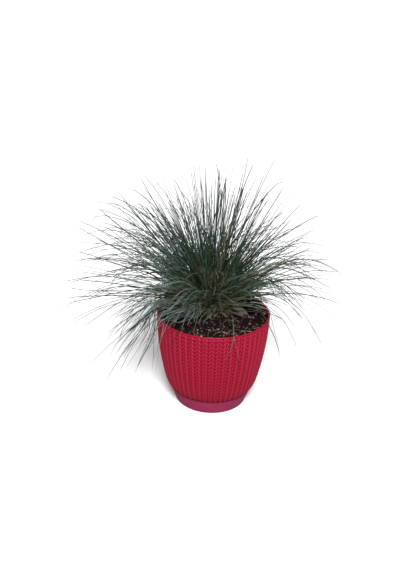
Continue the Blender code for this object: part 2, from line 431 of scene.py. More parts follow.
@dataclass(frozen=True)
class BladeFinish:
    """Waxy blue-green blades: tan at the sheath, green below, blue-grey above, pale at the tip, and a random
    share darkened by painted shade.
    """

    name: str
    sheath: Colour = (0.12, 0.11, 0.05)
    low: Colour = (0.100, 0.175, 0.095)
    middle: Colour = (0.122, 0.202, 0.165)
    bloom: Colour = (0.155, 0.183, 0.188)
    tip: Colour = (0.22, 0.21, 0.21)
    # painted shade: nearly black colour that a random share of the blades is darkened towards, as blades
    # lying in shade
    shade: Colour = (0.007, 0.017, 0.010)
    olive: Colour = (0.105, 0.105, 0.036)
    dead: Colour = (0.30, 0.22, 0.135)
    dead_dark: Colour = (0.10, 0.062, 0.034)
    low_at: float = 0.07  # places along a full-grown blade, from its root
    green_end: float = 0.34
    bloom_from: float = 0.72
    tip_from: float = 0.93
    wander: float = 0.22  # spread of these places from blade to blade
    painted_shade_share: float = 0.92  # share of painted shade in the darkest blades
    lots: Span = (7.0, 23.0)  # times the first lot, they give a second and a third
    shade_past: Step = (0.4, 3.0)  # in the second lot
    olive_past: Step = (0.80, 8.0)  # in the third lot
    olive_share: Span = (0.75, 0.6)  # at the root, and what the tip lacks of it
    mottle: Waves = (260.0, 4.0)
    grain: Waves = (3000.0, 2.0)
    grain_bump: Bump = (0.00006, 0.4)
    roughness: float = 0.48
    rougher_mottle: float = 0.2
    shine: float = 0.12

    def material(self) -> bpy.types.Material:
        """Make the finish.

        Returns:
            The material.
        """
        bench = Bench(self.name)
        along, lot = bench.along_and_lot()
        green = (self.low_at, self.low), (self.green_end, self.middle)
        grey = (self.bloom_from, self.bloom), (self.tip_from, self.bloom)
        stops = ((0.0, self.sheath), *green, *grey, (1.0, self.tip))
        living = bench.ramp((along + self.wander * (lot - 0.5)).clipped(), stops)
        mottle = bench.noise(*self.mottle)
        shade_lot, kind = (bench.maths("FRACT", lot * times, 0.0) for times in self.lots)
        # painted shade mixed into a random share of the blades
        living = bench.mix(shade_lot.past(*self.shade_past) * self.painted_shade_share, living, self.shade)
        at_root, lacking = self.olive_share
        living = bench.mix(kind.past(*self.olive_past) * (at_root - lacking * along), living, self.olive)
        dead = bench.mix(mottle, self.dead_dark, self.dead)
        colour = bench.mix(bench.attribute(DRY), living, dead)
        bench.bump(bench.noise(*self.grain), *self.grain_bump)
        rough = self.roughness + self.rougher_mottle * mottle
        return bench.finish(Base_Color=colour, Roughness=rough, Specular_IOR_Level=self.shine)


@dataclass(frozen=True)
class PlainFloor:
    """A pale studio floor."""

    colour: Colour = (0.93, 0.93, 0.93)
    roughness: float = 0.9
    shine: float = 0.1

    def material(self) -> bpy.types.Material:
        """The finish as a material."""
        bench = Bench("pale_floor")
        return bench.finish(Base_Color=self.colour, Roughness=self.roughness, Specular_IOR_Level=self.shine)


# ---- modelling by hand ----


def leave_all() -> None:
    """Leave edit mode and deselect every object."""
    if bpy.context.object and bpy.context.object.mode != "OBJECT":
        bpy.ops.object.mode_set(mode="OBJECT")
    bpy.ops.object.select_all(action="DESELECT")


def taken(name: str) -> Piece:
    """Name the object that was just added.

    Args:
        name: Its new name.

    Returns:
        The object.
    """
    item = bpy.context.object
    item.name = name
    item.data.name = name
    return item


def activate(item: Piece) -> None:
    """Make an object the active one, and the only one selected.

    Args:
        item: The object.
    """
    leave_all()
    item.select_set(True)
    bpy.context.view_layer.objects.active = item


def enter(item: Piece) -> None:
    """Make an object active, alone, in edit mode."""
    activate(item)
    bpy.ops.object.mode_set(mode="EDIT")


def pick(item: Piece, test: Callable[[bmesh.types.BMVert], bool]) -> None:
    """In edit mode, select some vertices, and the edges and faces between them.

    Args:
        item: The object.
        test: Whether a vertex is picked.
    """
    bpy.ops.mesh.select_mode(type="VERT")
    bpy.ops.mesh.select_all(action="DESELECT")
    bm = bmesh.from_edit_mesh(item.data)
    for vertex in bm.verts:
        vertex.select = test(vertex)
    bm.select_flush(True)
    bmesh.update_edit_mesh(item.data)


def draw_rings(start: Span, profile: Profile) -> None:
    """In edit mode, extrude the selected ring about Z through a profile.

    Args:
        start: Radius and height of the selected ring.
        profile: Radius and height of each further ring; a radius of 0 closes the end.
    """
    radius, height = start
    for next_radius, next_height in profile:
        lift = {"value": (0.0, 0.0, next_height - height)}
        bpy.ops.mesh.extrude_region_move(TRANSFORM_OT_translate=lift)
        if next_radius == 0.0:
            bpy.ops.mesh.merge(type="CENTER")
            return
        grow = next_radius / radius
        bpy.ops.transform.resize(value=(grow, grow, 1.0), center_override=(0.0, 0.0, next_height))
        radius, height = next_radius, next_height


def apply_all(item: Piece) -> None:
    """Apply an object's modifiers in order.

    Args:
        item: The object.
    """
    activate(item)
    for modifier in list(item.modifiers):
        bpy.ops.object.modifier_apply(modifier=modifier.name)


def points_of(mesh: bpy.types.Mesh) -> np.ndarray:
    """Read a mesh's vertices.

    Args:
        mesh: The mesh.

    Returns:
        Its vertices as rows of x, y, z.
    """
    flat = np.empty(len(mesh.vertices) * 3)
    mesh.vertices.foreach_get("co", flat)
    return flat.reshape(-1, 3)


def move_points(mesh: bpy.types.Mesh, points: np.ndarray) -> None:
    """Set a mesh's vertices."""
    mesh.vertices.foreach_set("co", points.ravel())
    mesh.update()


def carry(mesh: bpy.types.Mesh, name: str, numbers: np.ndarray) -> None:
    """Give each vertex of a mesh a number under an attribute's name."""
    layer = mesh.attributes.new(name, "FLOAT", "POINT")
    layer.data.foreach_set("value", np.asarray(numbers, dtype=np.float32).ravel())


def smooth(item: Piece, degrees: float) -> None:
    """Shade an object smooth, with edges sharper than an angle left sharp."""
    activate(item)
    bpy.ops.object.shade_smooth_by_angle(angle=math.radians(degrees))


def turn_out(item: Piece, degrees: float) -> None:
    """Turn all faces of an object outwards, leave edit mode and shade it smooth.

    Args:
        item: The object, in edit mode.
        degrees: The angle from which an edge stays sharp.
    """
    bpy.ops.mesh.select_all(action="SELECT")
    bpy.ops.mesh.normals_make_consistent(inside=False)
    smooth(item, degrees)


def new_piece(name: str, points: np.ndarray, faces: list[tuple[int, ...]]) -> Piece:
    """Make a mesh object.

    Args:
        name: The piece's name.
        points: Its vertices.
        faces: The numbers of the vertices round each face.

    Returns:
        The object, in the scene.
    """
    mesh = bpy.data.meshes.new(name)
    mesh.from_pydata(points.tolist(), [], faces)
    mesh.update()
    item = bpy.data.objects.new(name, mesh)
    bpy.context.scene.collection.objects.link(item)
    return item


def hand_over(item: Piece, material: bpy.types.Material, slot: str, *nodes: str) -> None:
    """Dress a finished piece and tie it to the frame.

    Args:
        item: The piece.
        material: Its material.
        slot: The record's slot that its finish belongs to; not used.
        nodes: The solids that it stands for.
    """
    item.data.materials.clear()
    item.data.materials.append(material)
    if nodes:
        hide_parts(*nodes)
    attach(item, BODY)
    LOG.info("%s: %d faces", item.name, len(item.data.polygons))


# ---- pot ----


@dataclass
class Pot:
    """The pot: a turned wall covered by knit stitches, a round lip, and a plain inside."""

    height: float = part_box("pot")[1].z
    rim_radius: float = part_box("pot")[1].x
    foot_z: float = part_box("pot")[0].z
    body_height: float = 0.089
    bow: float = 0.0127
    tuck: float = 0.0021
    tuck_power: float = 24.0
    wall: float = 0.0024
    spigot_radius: float = 0.0400
    round_off: float = 0.0006  # at the edge of the ledge
    columns: int = 52
    rows: int = 20
    first_row: float = 0.3  # length of the row under the lip, in rows
    flute: float = 0.0008  # fall of a column from its middle to the groove beside it
    flute_power: float = 2.2
    strand: float = 0.0009  # height of a leg of a stitch over the gap to the next
    slant: float = 1.30  # fall of a leg from the middle of its column to the side, in rows
    leg_power: float = 1.6  # how thin a leg is across
    middle_dip: float = 0.20  # fall of a leg's crest towards the middle of its column, as a share
    side_dip: float = 0.40  # and towards its side
    steps_across: int = 5
    steps_along: int = 8
    plain_rows: float = 0.08  # the relief rises over this many rows from either end
    level_rows: float = 1.0  # the legs slant fully from this many rows from either end
    shaded_end_relief: float = 0.10  # relief given to the lip and the ends, low so that they take on the painted groove shade
    lip_steps: int = 6
    inner_rings: int = 10
    wall_samples: int = 400
    merge: float = 1e-4  # of the flat stitches, in widths of one
    crease: float = 55.0
    finish: KnitPlastic = KnitPlastic()

    @property
    def ledge_z(self) -> float:
        """Height of the ledge that sits on the tray."""
        return self.height - self.body_height

    @property
    def lip_z(self) -> float:
        """Height where the wall turns into the round lip."""
        return self.height - self.wall / 2

    def radius_at(self, z: np.ndarray | float) -> np.ndarray | float:
        """Outer radius of the body at a height."""
        down = (self.height - z) / self.body_height
        return self.rim_radius - self.bow * down**2 - self.tuck * down**self.tuck_power

    def stitch(self) -> Piece:
        """Model a leg of unit height and half a unit width, flat.

        Returns:
            The stitch, with the mirror that gives it its other leg.
        """
        leave_all()
        steps = {"x_subdivisions": self.steps_across, "y_subdivisions": self.steps_along}
        bpy.ops.mesh.primitive_grid_add(size=1.0, **steps)
        item = taken("knit_pot")
        points = points_of(item.data) + (0.5, 0.5, 0.0)
        middle = 1.0 - points[:, 0]
        leg = np.sin(math.pi * points[:, 1]) ** self.leg_power
        points[:, 2] = leg * (1.0 - self.middle_dip * middle**4 - self.side_dip * points[:, 0] ** 6)
        points[:, 0] *= 0.5
        move_points(item.data, points)
        item.modifiers.new("Other leg", "MIRROR").merge_threshold = self.merge
        return item

    def knit(self) -> Piece:
        """Lay stitches side by side and row on row, and wrap them round the wall.

        Returns:
            The wall, in edit mode, open at both ends.
        """
        item = self.stitch()
        for axis, count in enumerate((self.columns, self.rows)):
            array = item.modifiers.new("Repeat", "ARRAY")
            array.count = count
            array.use_relative_offset = False
            array.use_constant_offset = array.use_merge_vertices = True
            array.constant_offset_displace = [float(axis == 0), float(axis == 1), 0.0]
            array.merge_threshold = self.merge
        apply_all(item)
        cloth = points_of(item.data)
        side = 2.0 * np.abs((cloth[:, 0] + 0.5) % 1.0 - 0.5)
        row = cloth[:, 1]
        from_end = np.minimum(row, self.rows - row)
        shown = np.clip(from_end / self.plain_rows, 0.0, 1.0)
        shown = shown * shown * (3.0 - 2.0 * shown)
        laid = row - (1.0 - self.first_row) * np.clip(row - (self.rows - 1.0), 0.0, 1.0)
        skewed = laid - self.slant * side * np.clip(from_end / self.level_rows, 0.0, 1.0)
        heights = np.linspace(self.ledge_z, self.lip_z, self.wall_samples)
        slopes = np.gradient(self.radius_at(heights), heights)
        lengths = np.concatenate(([0.0], np.cumsum(np.hypot(1.0, slopes[1:]) * np.diff(heights))))
        z = np.interp(skewed / (self.rows - 1.0 + self.first_row) * lengths[-1], lengths, heights)
        relief = 1.0 - shown * (1.0 - cloth[:, 2])
        turn = math.tau * cloth[:, 0] / self.columns - math.pi / 2
        radius = self.radius_at(z) - self.strand * (1.0 - relief)
        radius -= self.flute * shown * side**self.flute_power
        move_points(item.data, np.stack((radius * np.cos(turn), radius * np.sin(turn), z), axis=1))
        carry(item.data, RELIEF, relief * (self.shaded_end_relief + (1.0 - self.shaded_end_relief) * shown))
        enter(item)
        bpy.ops.mesh.select_all(action="SELECT")
        bpy.ops.mesh.remove_doubles(threshold=NEAR)
        return item

    def lip(self) -> Profile:
        """Draw the round lip.

        Returns:
            The rings from the outer wall over to the inner one.
        """
        half = self.wall / 2
        turns = [math.pi * step / self.lip_steps for step in range(1, self.lip_steps + 1)]
        middle = self.radius_at(self.lip_z) - half
        return [(middle + half * math.cos(a), self.lip_z + half * math.sin(a)) for a in turns]

    def inside(self) -> Profile:
        """Draw the inner wall and the floor.

        Returns:
            The rings from the lip to the middle of the floor.
        """
        ledge = self.ledge_z + self.wall
        floor = self.foot_z + self.wall
        heights = np.linspace(self.lip_z, ledge, self.inner_rings)[1:]
        wall = [(float(self.radius_at(z)) - self.wall, float(z)) for z in heights]
        narrow = self.spigot_radius - self.wall
        return wall + [(narrow, ledge), (narrow, floor), (0.0, floor)]

    def below(self) -> Profile:
        """Draw the ledge, the spigot that drops into the tray, and the underside.

        Returns:
            The rings from the wall to the middle of the underside.
        """
        edge = float(self.radius_at(self.ledge_z)) - self.round_off
        ledge = [(edge, self.ledge_z), (self.spigot_radius, self.ledge_z)]
        return [*ledge, (self.spigot_radius, self.foot_z), (0.0, self.foot_z)]

    def build(self) -> None:
        """Knit the wall, draw the lip, inside and underside from its two ends, and dress it."""
        item = self.knit()
        for end, profile in ((self.lip_z, [*self.lip(), *self.inside()]), (self.ledge_z, self.below())):
            pick(item, lambda vertex: vertex.is_boundary and abs(vertex.co.z - end) < NEAR)
            draw_rings((float(self.radius_at(end)), end), profile)
        turn_out(item, self.crease)
        hand_over(item, self.finish.material(), "pot_plastic", "pot")


@dataclass
class Tray:
    """The plain tray that the pot's bottom sits in."""

    top_z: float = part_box("drip_tray")[1].z
    top_radius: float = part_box("drip_tray")[1].x
    foot_radius: float = 0.0411
    wall: float = 0.0020
    edge: float = 0.0010
    segments: int = 192
    corner_steps: int = 4
    crease: float = 40.0
    finish: SmoothPlastic = SmoothPlastic()

    def outside(self) -> Profile:
        """Draw the outer wall, the edge and the inner floor.

        Returns:
            The rings from the underside's rim over the edge to the middle of the floor.
        """
        corner = [math.pi / 2 * step / self.corner_steps for step in range(self.corner_steps + 1)]
        foot, edge = self.foot_radius, self.edge
        lower = [(foot - edge + edge * math.sin(a), edge - edge * math.cos(a)) for a in corner]
        brim = edge / 2
        middle = self.top_radius - brim
        upper = [(middle + brim * math.cos(a), self.top_z - brim + brim * math.sin(a)) for a in corner]
        floor = [(foot - self.wall, self.wall + edge), (foot - self.wall - edge, self.wall)]
        return [*lower[1:], *upper, (self.top_radius - self.wall, self.top_z), *floor, (0.0, self.wall)]

    def build(self) -> None:
        """Turn the tray from a disc and dress it."""
        leave_all()
        ring = self.foot_radius - self.edge
        bpy.ops.mesh.primitive_circle_add(vertices=self.segments, radius=ring, fill_type="TRIFAN")
        item = taken("round_tray")
        enter(item)
        pick(item, lambda vertex: vertex.is_boundary)
        draw_rings((ring, 0.0), self.outside())
        bpy.ops.mesh.select_all(action="SELECT")
        bpy.ops.mesh.remove_doubles(threshold=WELD)
        turn_out(item, self.crease)
        hand_over(item, self.finish.material(), "tray_plastic", "drip_tray")


# ---- soil and what lies on it ----


@dataclass(frozen=True)
class Bits:
    """One kind of loose bit strewn on the soil."""

    name: str
    count: int
    smallest: float
    largest: float
    flatness: float
    sunk: float
    seed: int
    finish: Strewn
    edge: float = 0.985  # share of the soil's area that they lie on
    widths: Span = (0.45, 0.90)  # shares of a bit's length
    heights: Span = (0.30, 0.80)  # shares of its length, for a flatness of one
    dents: Span = (0.70, 1.15)
    tilt: float = 0.6  # in radians, either way
    fineness: float = 3.0  # the higher, the fewer the large bits


@dataclass
class Soil:
    """The body of peat in the pot, and the loose bits strewn on it."""

    pot: Pot
    below_rim: float = 0.0095
    mound: float = 0.0022  # how far the soil rises towards the crown
    mound_spread: float = 0.035
    slack: float = 0.0005  # between the soil and the pot's inner wall
    cells: int = 168  # of the grid that its top is cut from
    lump: float = 0.0011  # height of the lumps
    lumps_per_m: float = 230.0
    slices: Span = (0.3, 0.1)  # where the noise of the lumps and that of the grit are cut
    grit: float = 0.0009  # height of the grit on them
    grit_per_m: float = 620.0
    bank: float = 0.0055  # how far the peat climbs the wall behind and at the right
    bank_from: float = 0.70  # in radii
    bank_towards: Span = (0.62, 0.78)
    bank_power: float = 1.5  # how late it climbs
    bank_slope: float = 1.4  # how soon it gives out round the wall
    gathered: float = 0.9  # height of the first ring under the top, as a share of the pot's
    side_rings: int = 8
    crease: float = 60.0

    def reach_at(self, z: float) -> float:
        """Radius of the soil at a height."""
        return float(self.pot.radius_at(z)) - self.pot.wall - self.slack

    @property
    def radius(self) -> float:
        """Radius of the soil at its top."""
        return self.reach_at(self.pot.height - self.below_rim)

    def level(self, x: np.ndarray, y: np.ndarray) -> np.ndarray:
        """Height of the soil without its lumps.

        Args:
            x: Where, along x.
            y: Where, along y.

        Returns:
            The height there.
        """
        away = np.hypot(x - CROWN_MIDDLE.x, y - CROWN_MIDDLE.y) / self.mound_spread
        out = np.hypot(x, y) / self.radius
        climb = np.clip((out - self.bank_from) / (1.0 - self.bank_from), 0.0, 1.0) ** self.bank_power
        side = (x * self.bank_towards[0] + y * self.bank_towards[1]) / np.maximum(out * self.radius, 1e-6)
        bank = self.bank * climb * np.clip(side * self.bank_slope, 0.0, 1.0)
        return self.pot.height - self.below_rim + self.mound * np.exp(-away * away) + bank

    def lumps(self, x: float, y: float) -> float:
        """Height of the lumps and grit over the level.

        Args:
            x: Where, along x.
            y: Where, along y.

        Returns:
            The height there.
        """
        lump_slice, grit_slice = self.slices
        lump = noise.noise(Vector((x, y, lump_slice)) * self.lumps_per_m)
        near = noise.voronoi(Vector((x, y, grit_slice)) * self.grit_per_m)[0][0]
        return self.lump * lump + self.grit * (0.5 - near)

    def top(self) -> Piece:
        """Model the lumpy top from a grid trimmed to a disc.

        Returns:
            The top, open below.
        """
        leave_all()
        steps = {"x_subdivisions": self.cells, "y_subdivisions": self.cells}
        bpy.ops.mesh.primitive_grid_add(size=2.0 * self.radius, **steps)
        item = taken("peat")
        enter(item)
        pick(item, lambda vertex: vertex.co.xy.length > self.radius)
        bpy.ops.mesh.delete(type="VERT")
        pick(item, lambda vertex: vertex.is_boundary)
        bm = bmesh.from_edit_mesh(item.data)
        for vertex in bm.verts:
            if vertex.select:
                vertex.co.xy *= self.radius / vertex.co.xy.length
        bmesh.update_edit_mesh(item.data)
        leave_all()
        points = points_of(item.data)
        bumps = np.array([self.lumps(x, y) for x, y in points[:, :2]])
        points[:, 2] = self.level(points[:, 0], points[:, 1]) + bumps
        move_points(item.data, points)
        return item

    def body(self) -> None:
        """Close the top with a side and an underside, and dress it."""
        item = self.top()
        enter(item)
        pick(item, lambda vertex: vertex.is_boundary)
        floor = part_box("soil")[0].z
        lower = self.pot.ledge_z + self.pot.wall + self.slack
        foot = self.pot.spigot_radius - self.pot.wall - self.slack
        heights = np.linspace(self.gathered * self.pot.height, lower, self.side_rings)
        bpy.ops.mesh.extrude_region_move()
        bpy.ops.transform.resize(value=(1.0, 1.0, 0.0), center_override=(0.0, 0.0, float(heights[0])))
        side = [(self.reach_at(z), float(z)) for z in heights[1:]]
        draw_rings((self.radius, float(heights[0])), [*side, (foot, lower), (foot, floor), (0.0, floor)])
        turn_out(item, self.crease)
        hand_over(item, DampPeat().material(), "peat", "soil")

    def strew(self, bits: Bits) -> None:
        """Strew one kind of bit over the soil, each a dented copy of one modelled lump.

        Args:
            bits: The kind of bit.
        """
        leave_all()
        bpy.ops.mesh.primitive_ico_sphere_add(subdivisions=1, radius=0.5)
        master = taken(bits.name + "_master")
        lump = points_of(master.data)
        faces = [tuple(face.vertices) for face in master.data.polygons]
        bpy.data.objects.remove(master)
        chance = np.random.default_rng(bits.seed)
        clouds, all_faces, lots = [], [], []
        for number in range(bits.count):
            reach = self.radius * math.sqrt(chance.uniform(0.0, bits.edge))
            bearing = chance.uniform(0.0, math.tau)
            x, y = reach * math.cos(bearing), reach * math.sin(bearing)
            size = bits.smallest + (bits.largest - bits.smallest) * chance.random() ** bits.fineness
            width, height = chance.uniform(*bits.widths), chance.uniform(*bits.heights) * bits.flatness
            shape = size * np.array((1.0, width, height))
            spin, tilt = chance.uniform(0.0, math.tau), chance.uniform(-bits.tilt, bits.tilt)
            turn = Matrix.Rotation(spin, 3, "Z") @ Matrix.Rotation(tilt, 3, "X")
            dented = lump * chance.uniform(*bits.dents, (len(lump), 1)) * shape
            z = float(self.level(x, y)) + self.lumps(x, y) + size * bits.sunk
            clouds.append(dented @ np.array(turn).T + (x, y, z))
            all_faces += [tuple(corner + number * len(lump) for corner in face) for face in faces]
            lots.append(np.full(len(lump), chance.random()))
        item = new_piece(bits.name, np.concatenate(clouds), all_faces)
        carry(item.data, LOT, np.concatenate(lots))
        hand_over(item, bits.finish.material(), "peat")

    def build(self) -> None:
        """Build the soil and strew its bits."""
        self.body()
        for bits in BITS:
            self.strew(bits)


PEAT_STOPS = (
    (0.0, (0.003, 0.002, 0.002)),
    (0.45, (0.012, 0.006, 0.006)),
    (0.72, (0.050, 0.024, 0.022)),
    (0.88, (0.150, 0.090, 0.080)),
    (1.0, (0.300, 0.220, 0.190)),
)
CHIP_STOPS = ((0.0, (0.060, 0.030, 0.028)), (0.5, (0.150, 0.090, 0.082)), (1.0, (0.340, 0.260, 0.240)))
GRAIN_STOPS = ((0.0, (0.55, 0.50, 0.45)), (1.0, (0.90, 0.88, 0.85)))
ROOT_STOPS = ((0.0, (0.070, 0.036, 0.030)), (0.5, (0.200, 0.125, 0.105)), (1.0, (0.420, 0.310, 0.260)))
BITS = (
    Bits("peat_crumbs", 1900, 0.0006, 0.0034, 0.9, 0.16, 3, Strewn("peat_crumbs", PEAT_STOPS, 900.0, 0.85)),
    Bits("wood_chips", 110, 0.0016, 0.0060, 0.45, 0.20, 4, Strewn("wood_chips", CHIP_STOPS, 900.0, 0.8)),
    Bits("perlite", 60, 0.0005, 0.0021, 1.2, 0.30, 5, Strewn("perlite", GRAIN_STOPS, 1500.0, 0.7)),
)


@dataclass
class Rootlets:
    """Fine dry rootlets that lie on the soil, each bowed and a little raised."""

    soil: Soil
    count: int = 64
    segments: int = 7
    bearings: Span = (-140.0, 60.0)  # in degrees
    lengths: Span = (0.004, 0.018)
    widths: Span = (0.00028, 0.00060)
    arches: Span = (0.0005, 0.0030)
    curl: float = 0.9  # change of heading from root to tip, in radians
    strewn: float = 0.9  # share of the soil's area that they start on
    inside: float = 0.97  # how near to the soil's edge they come, as a share
    seed: int = 6
    finish: Strewn = Strewn("rootlets", ROOT_STOPS, 900.0, 0.8)

    def build(self) -> None:
        """Lay the rootlets and dress them."""
        chance = np.random.default_rng(self.seed)
        stock = BladeStock("rootlet", self.segments)
        each = (self.count, 1)
        reach = self.soil.radius * np.sqrt(chance.uniform(0.0, self.strewn, self.count))
        bearing = np.radians(chance.uniform(*self.bearings, self.count))
        start = np.stack((reach * np.cos(bearing), reach * np.sin(bearing)), axis=1)
        heading = chance.uniform(0.0, math.tau, each) + chance.normal(0.0, self.curl, each) * stock.places
        length = chance.uniform(*self.lengths, (self.count, 1, 1))
        step = np.stack((np.cos(heading), np.sin(heading)), axis=2) / stock.segments
        flat = start[:, None] + length * (np.cumsum(step, axis=1) - step[:, :1])
        edge = self.inside * self.soil.radius
        flat *= np.minimum(1.0, edge / np.linalg.norm(flat, axis=2, keepdims=True))
        bumps = np.array([[self.soil.lumps(x, y) for x, y in line] for line in flat])
        arch = chance.uniform(*self.arches, each) * np.sin(math.pi * stock.places)
        high = self.soil.level(flat[:, :, 0], flat[:, :, 1])
        high = high + np.maximum(bumps.mean(axis=1, keepdims=True), 0.0) + arch
        lines = np.concatenate((flat, high[:, :, None]), axis=2)
        widths = chance.uniform(*self.widths, each) * taper(stock.places)
        item = stock.grow("rootlets", lines, widths, np.zeros(self.count), self.seed)
        carry(item.data, LOT, np.repeat(chance.random(self.count), len(stock.station)))
        hand_over(item, self.finish.material(), "peat")


@dataclass
class BarkFlake:
    """The one larger flake of bark on the soil."""

    seed: int = 2
    cuts: int = 5
    boxy: float = 0.45  # shares of a box and of a ball in its shape
    rounded: float = 0.55
    fill: float = 0.9  # of its solid's box
    dent: float = 0.0006
    dents_per_m: float = 420.0
    lot: float = 0.5
    crease: float = 35.0
    finish: Strewn = Strewn("bark", ((0.0, (0.115, 0.095, 0.098)), (1.0, (0.115, 0.095, 0.098))), 800.0, 0.8)

    def build(self) -> None:
        """Shape the flake from a box as large as its solid, dent it and dress it."""
        low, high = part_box("bark_chip")
        centre, half = (low + high) / 2, (high - low) / 2
        leave_all()
        bpy.ops.mesh.primitive_cube_add(size=2.0)
        item = taken("bark_flake")
        enter(item)
        bpy.ops.mesh.select_all(action="SELECT")
        bpy.ops.mesh.subdivide(number_cuts=self.cuts)
        leave_all()
        points = points_of(item.data)
        ball = points / np.linalg.norm(points, axis=1, keepdims=True)
        shape = (self.boxy * points + self.rounded * ball) * np.array(half) * self.fill
        noise.seed_set(self.seed)
        waves = [noise.noise_vector(Vector(point) * self.dents_per_m) for point in shape]
        shape = shape + np.array([tuple(wave) for wave in waves]) * self.dent
        move_points(item.data, shape + np.array(centre))
        carry(item.data, LOT, np.full(len(points), self.lot))
        smooth(item, self.crease)
        hand_over(item, self.finish.material(), "bark", "bark_chip")


# ---- blades ----


class BladeStock:
    """The one blade that every blade is a copy of: a keeled needle along the unit line."""

    full_grown: float = 0.115  # length from which a blade is bloomed and pale up to its tip
    youngest: float = 0.30  # how far along the finish the shortest blades reach
    keel: float = 0.72  # a blade's depth as a share of its width

    def __init__(self, name: str, segments: int) -> None:
        """Model the blade by drawing a small diamond out to a point.

        Args:
            name: Name for the modelled blade.
            segments: Steps from root to tip.
        """
        self.segments = segments
        leave_all()
        bpy.ops.mesh.primitive_circle_add(vertices=4, radius=1.0, fill_type="NGON")
        item = taken(name)
        enter(item)
        bpy.ops.mesh.select_all(action="SELECT")
        bpy.ops.mesh.flip_normals()
        lift = {"value": (0.0, 0.0, 1.0 / segments)}
        for _ in range(segments):
            bpy.ops.mesh.extrude_region_move(TRANSFORM_OT_translate=lift)
        bpy.ops.mesh.merge(type="CENTER")
        bpy.ops.mesh.select_all(action="SELECT")
        bpy.ops.mesh.normals_make_consistent(inside=False)
        leave_all()
        points = points_of(item.data)
        self.places = np.linspace(0.0, 1.0, segments + 1)
        self.section = points[:, :2] * (1.0, self.keel)
        self.station = np.rint(points[:, 2] * segments).astype(int)
        self.faces = [tuple(face.vertices) for face in item.data.polygons]
        bpy.data.objects.remove(item)

    def grow(self, name: str, lines: np.ndarray, widths: np.ndarray, dry: np.ndarray, seed: int) -> Piece:
        """Copy the blade along many lines into one mesh.

        Args:
            name: The piece's name.
            lines: Centre lines, blade by station by x, y, z.
            widths: Full widths, blade by station.
            dry: How dead each blade is.
            seed: Seed of the blades' turns and lots.

        Returns:
            The joined mesh object.
        """
        chance = np.random.default_rng(seed)
        count = len(lines)
        tangents = np.gradient(lines, axis=1)
        tangents /= np.linalg.norm(tangents, axis=2, keepdims=True)
        across = np.cross(tangents[:, 0], chance.normal(size=(count, 3)))
        sides = np.empty_like(lines)
        for station in range(lines.shape[1]):
            tangent = tangents[:, station]
            across = across - tangent * (across * tangent).sum(axis=1, keepdims=True)
            across /= np.linalg.norm(across, axis=1, keepdims=True)
            sides[:, station] = across
        keels = np.cross(tangents, sides)
        half = widths[:, self.station, None] / 2
        points = lines[:, self.station] + half * self.section[None, :, :1] * sides[:, self.station]
        points = points + half * self.section[None, :, 1:] * keels[:, self.station]
        size = len(self.station)
        first = range(0, count * size, size)
        faces = [tuple(corner + start for corner in face) for start in first for face in self.faces]
        item = new_piece(name, points.reshape(-1, 3), faces)
        mesh = item.data
        lengths = np.linalg.norm(np.diff(lines, axis=1), axis=2).sum(axis=1)
        reached = np.clip(lengths / self.full_grown, self.youngest, 1.0)
        along = np.tile(self.station / self.segments, count) * np.repeat(reached, size)
        lots = np.repeat(chance.random(count), size)
        corners = np.empty(len(mesh.loops), dtype=int)
        mesh.loops.foreach_get("vertex_index", corners)
        uv = mesh.uv_layers.new(name=BLADE_MAP)
        uv.data.foreach_set("uv", np.stack((along[corners], lots[corners]), axis=1).ravel())
        carry(mesh, DRY, np.repeat(dry, size))
        mesh.shade_smooth()
        return item


def through(points: np.ndarray, places: np.ndarray) -> np.ndarray:
    """A smooth line through evenly spaced points.

    Args:
        points: Points along the line, on the next to last axis.
        places: Where to read the line, from 0 at its first point to 1 at its last.

    Returns:
        The points read, in the place of the given ones.
    """
    last = points.shape[-2] - 1
    at = np.clip(places * last, 0.0, last - 1e-9)
    cell = at.astype(int)
    t = (at - cell)[:, None]
    before = 2 * points[..., :1, :] - points[..., 1:2, :]
    after = 2 * points[..., -1:, :] - points[..., -2:-1, :]
    padded = np.concatenate((before, points, after), axis=-2)
    a, b, c, d = (padded[..., cell + k, :] for k in range(4))
    return b + 0.5 * t * (c - a + t * (2 * a - 5 * b + 4 * c - d + t * (3 * (b - c) + d - a)))


def unit(vectors: np.ndarray) -> np.ndarray:
    """Vectors, on the last axis, brought to length one."""
    return vectors / np.maximum(np.linalg.norm(vectors, axis=-1, keepdims=True), 1e-9)


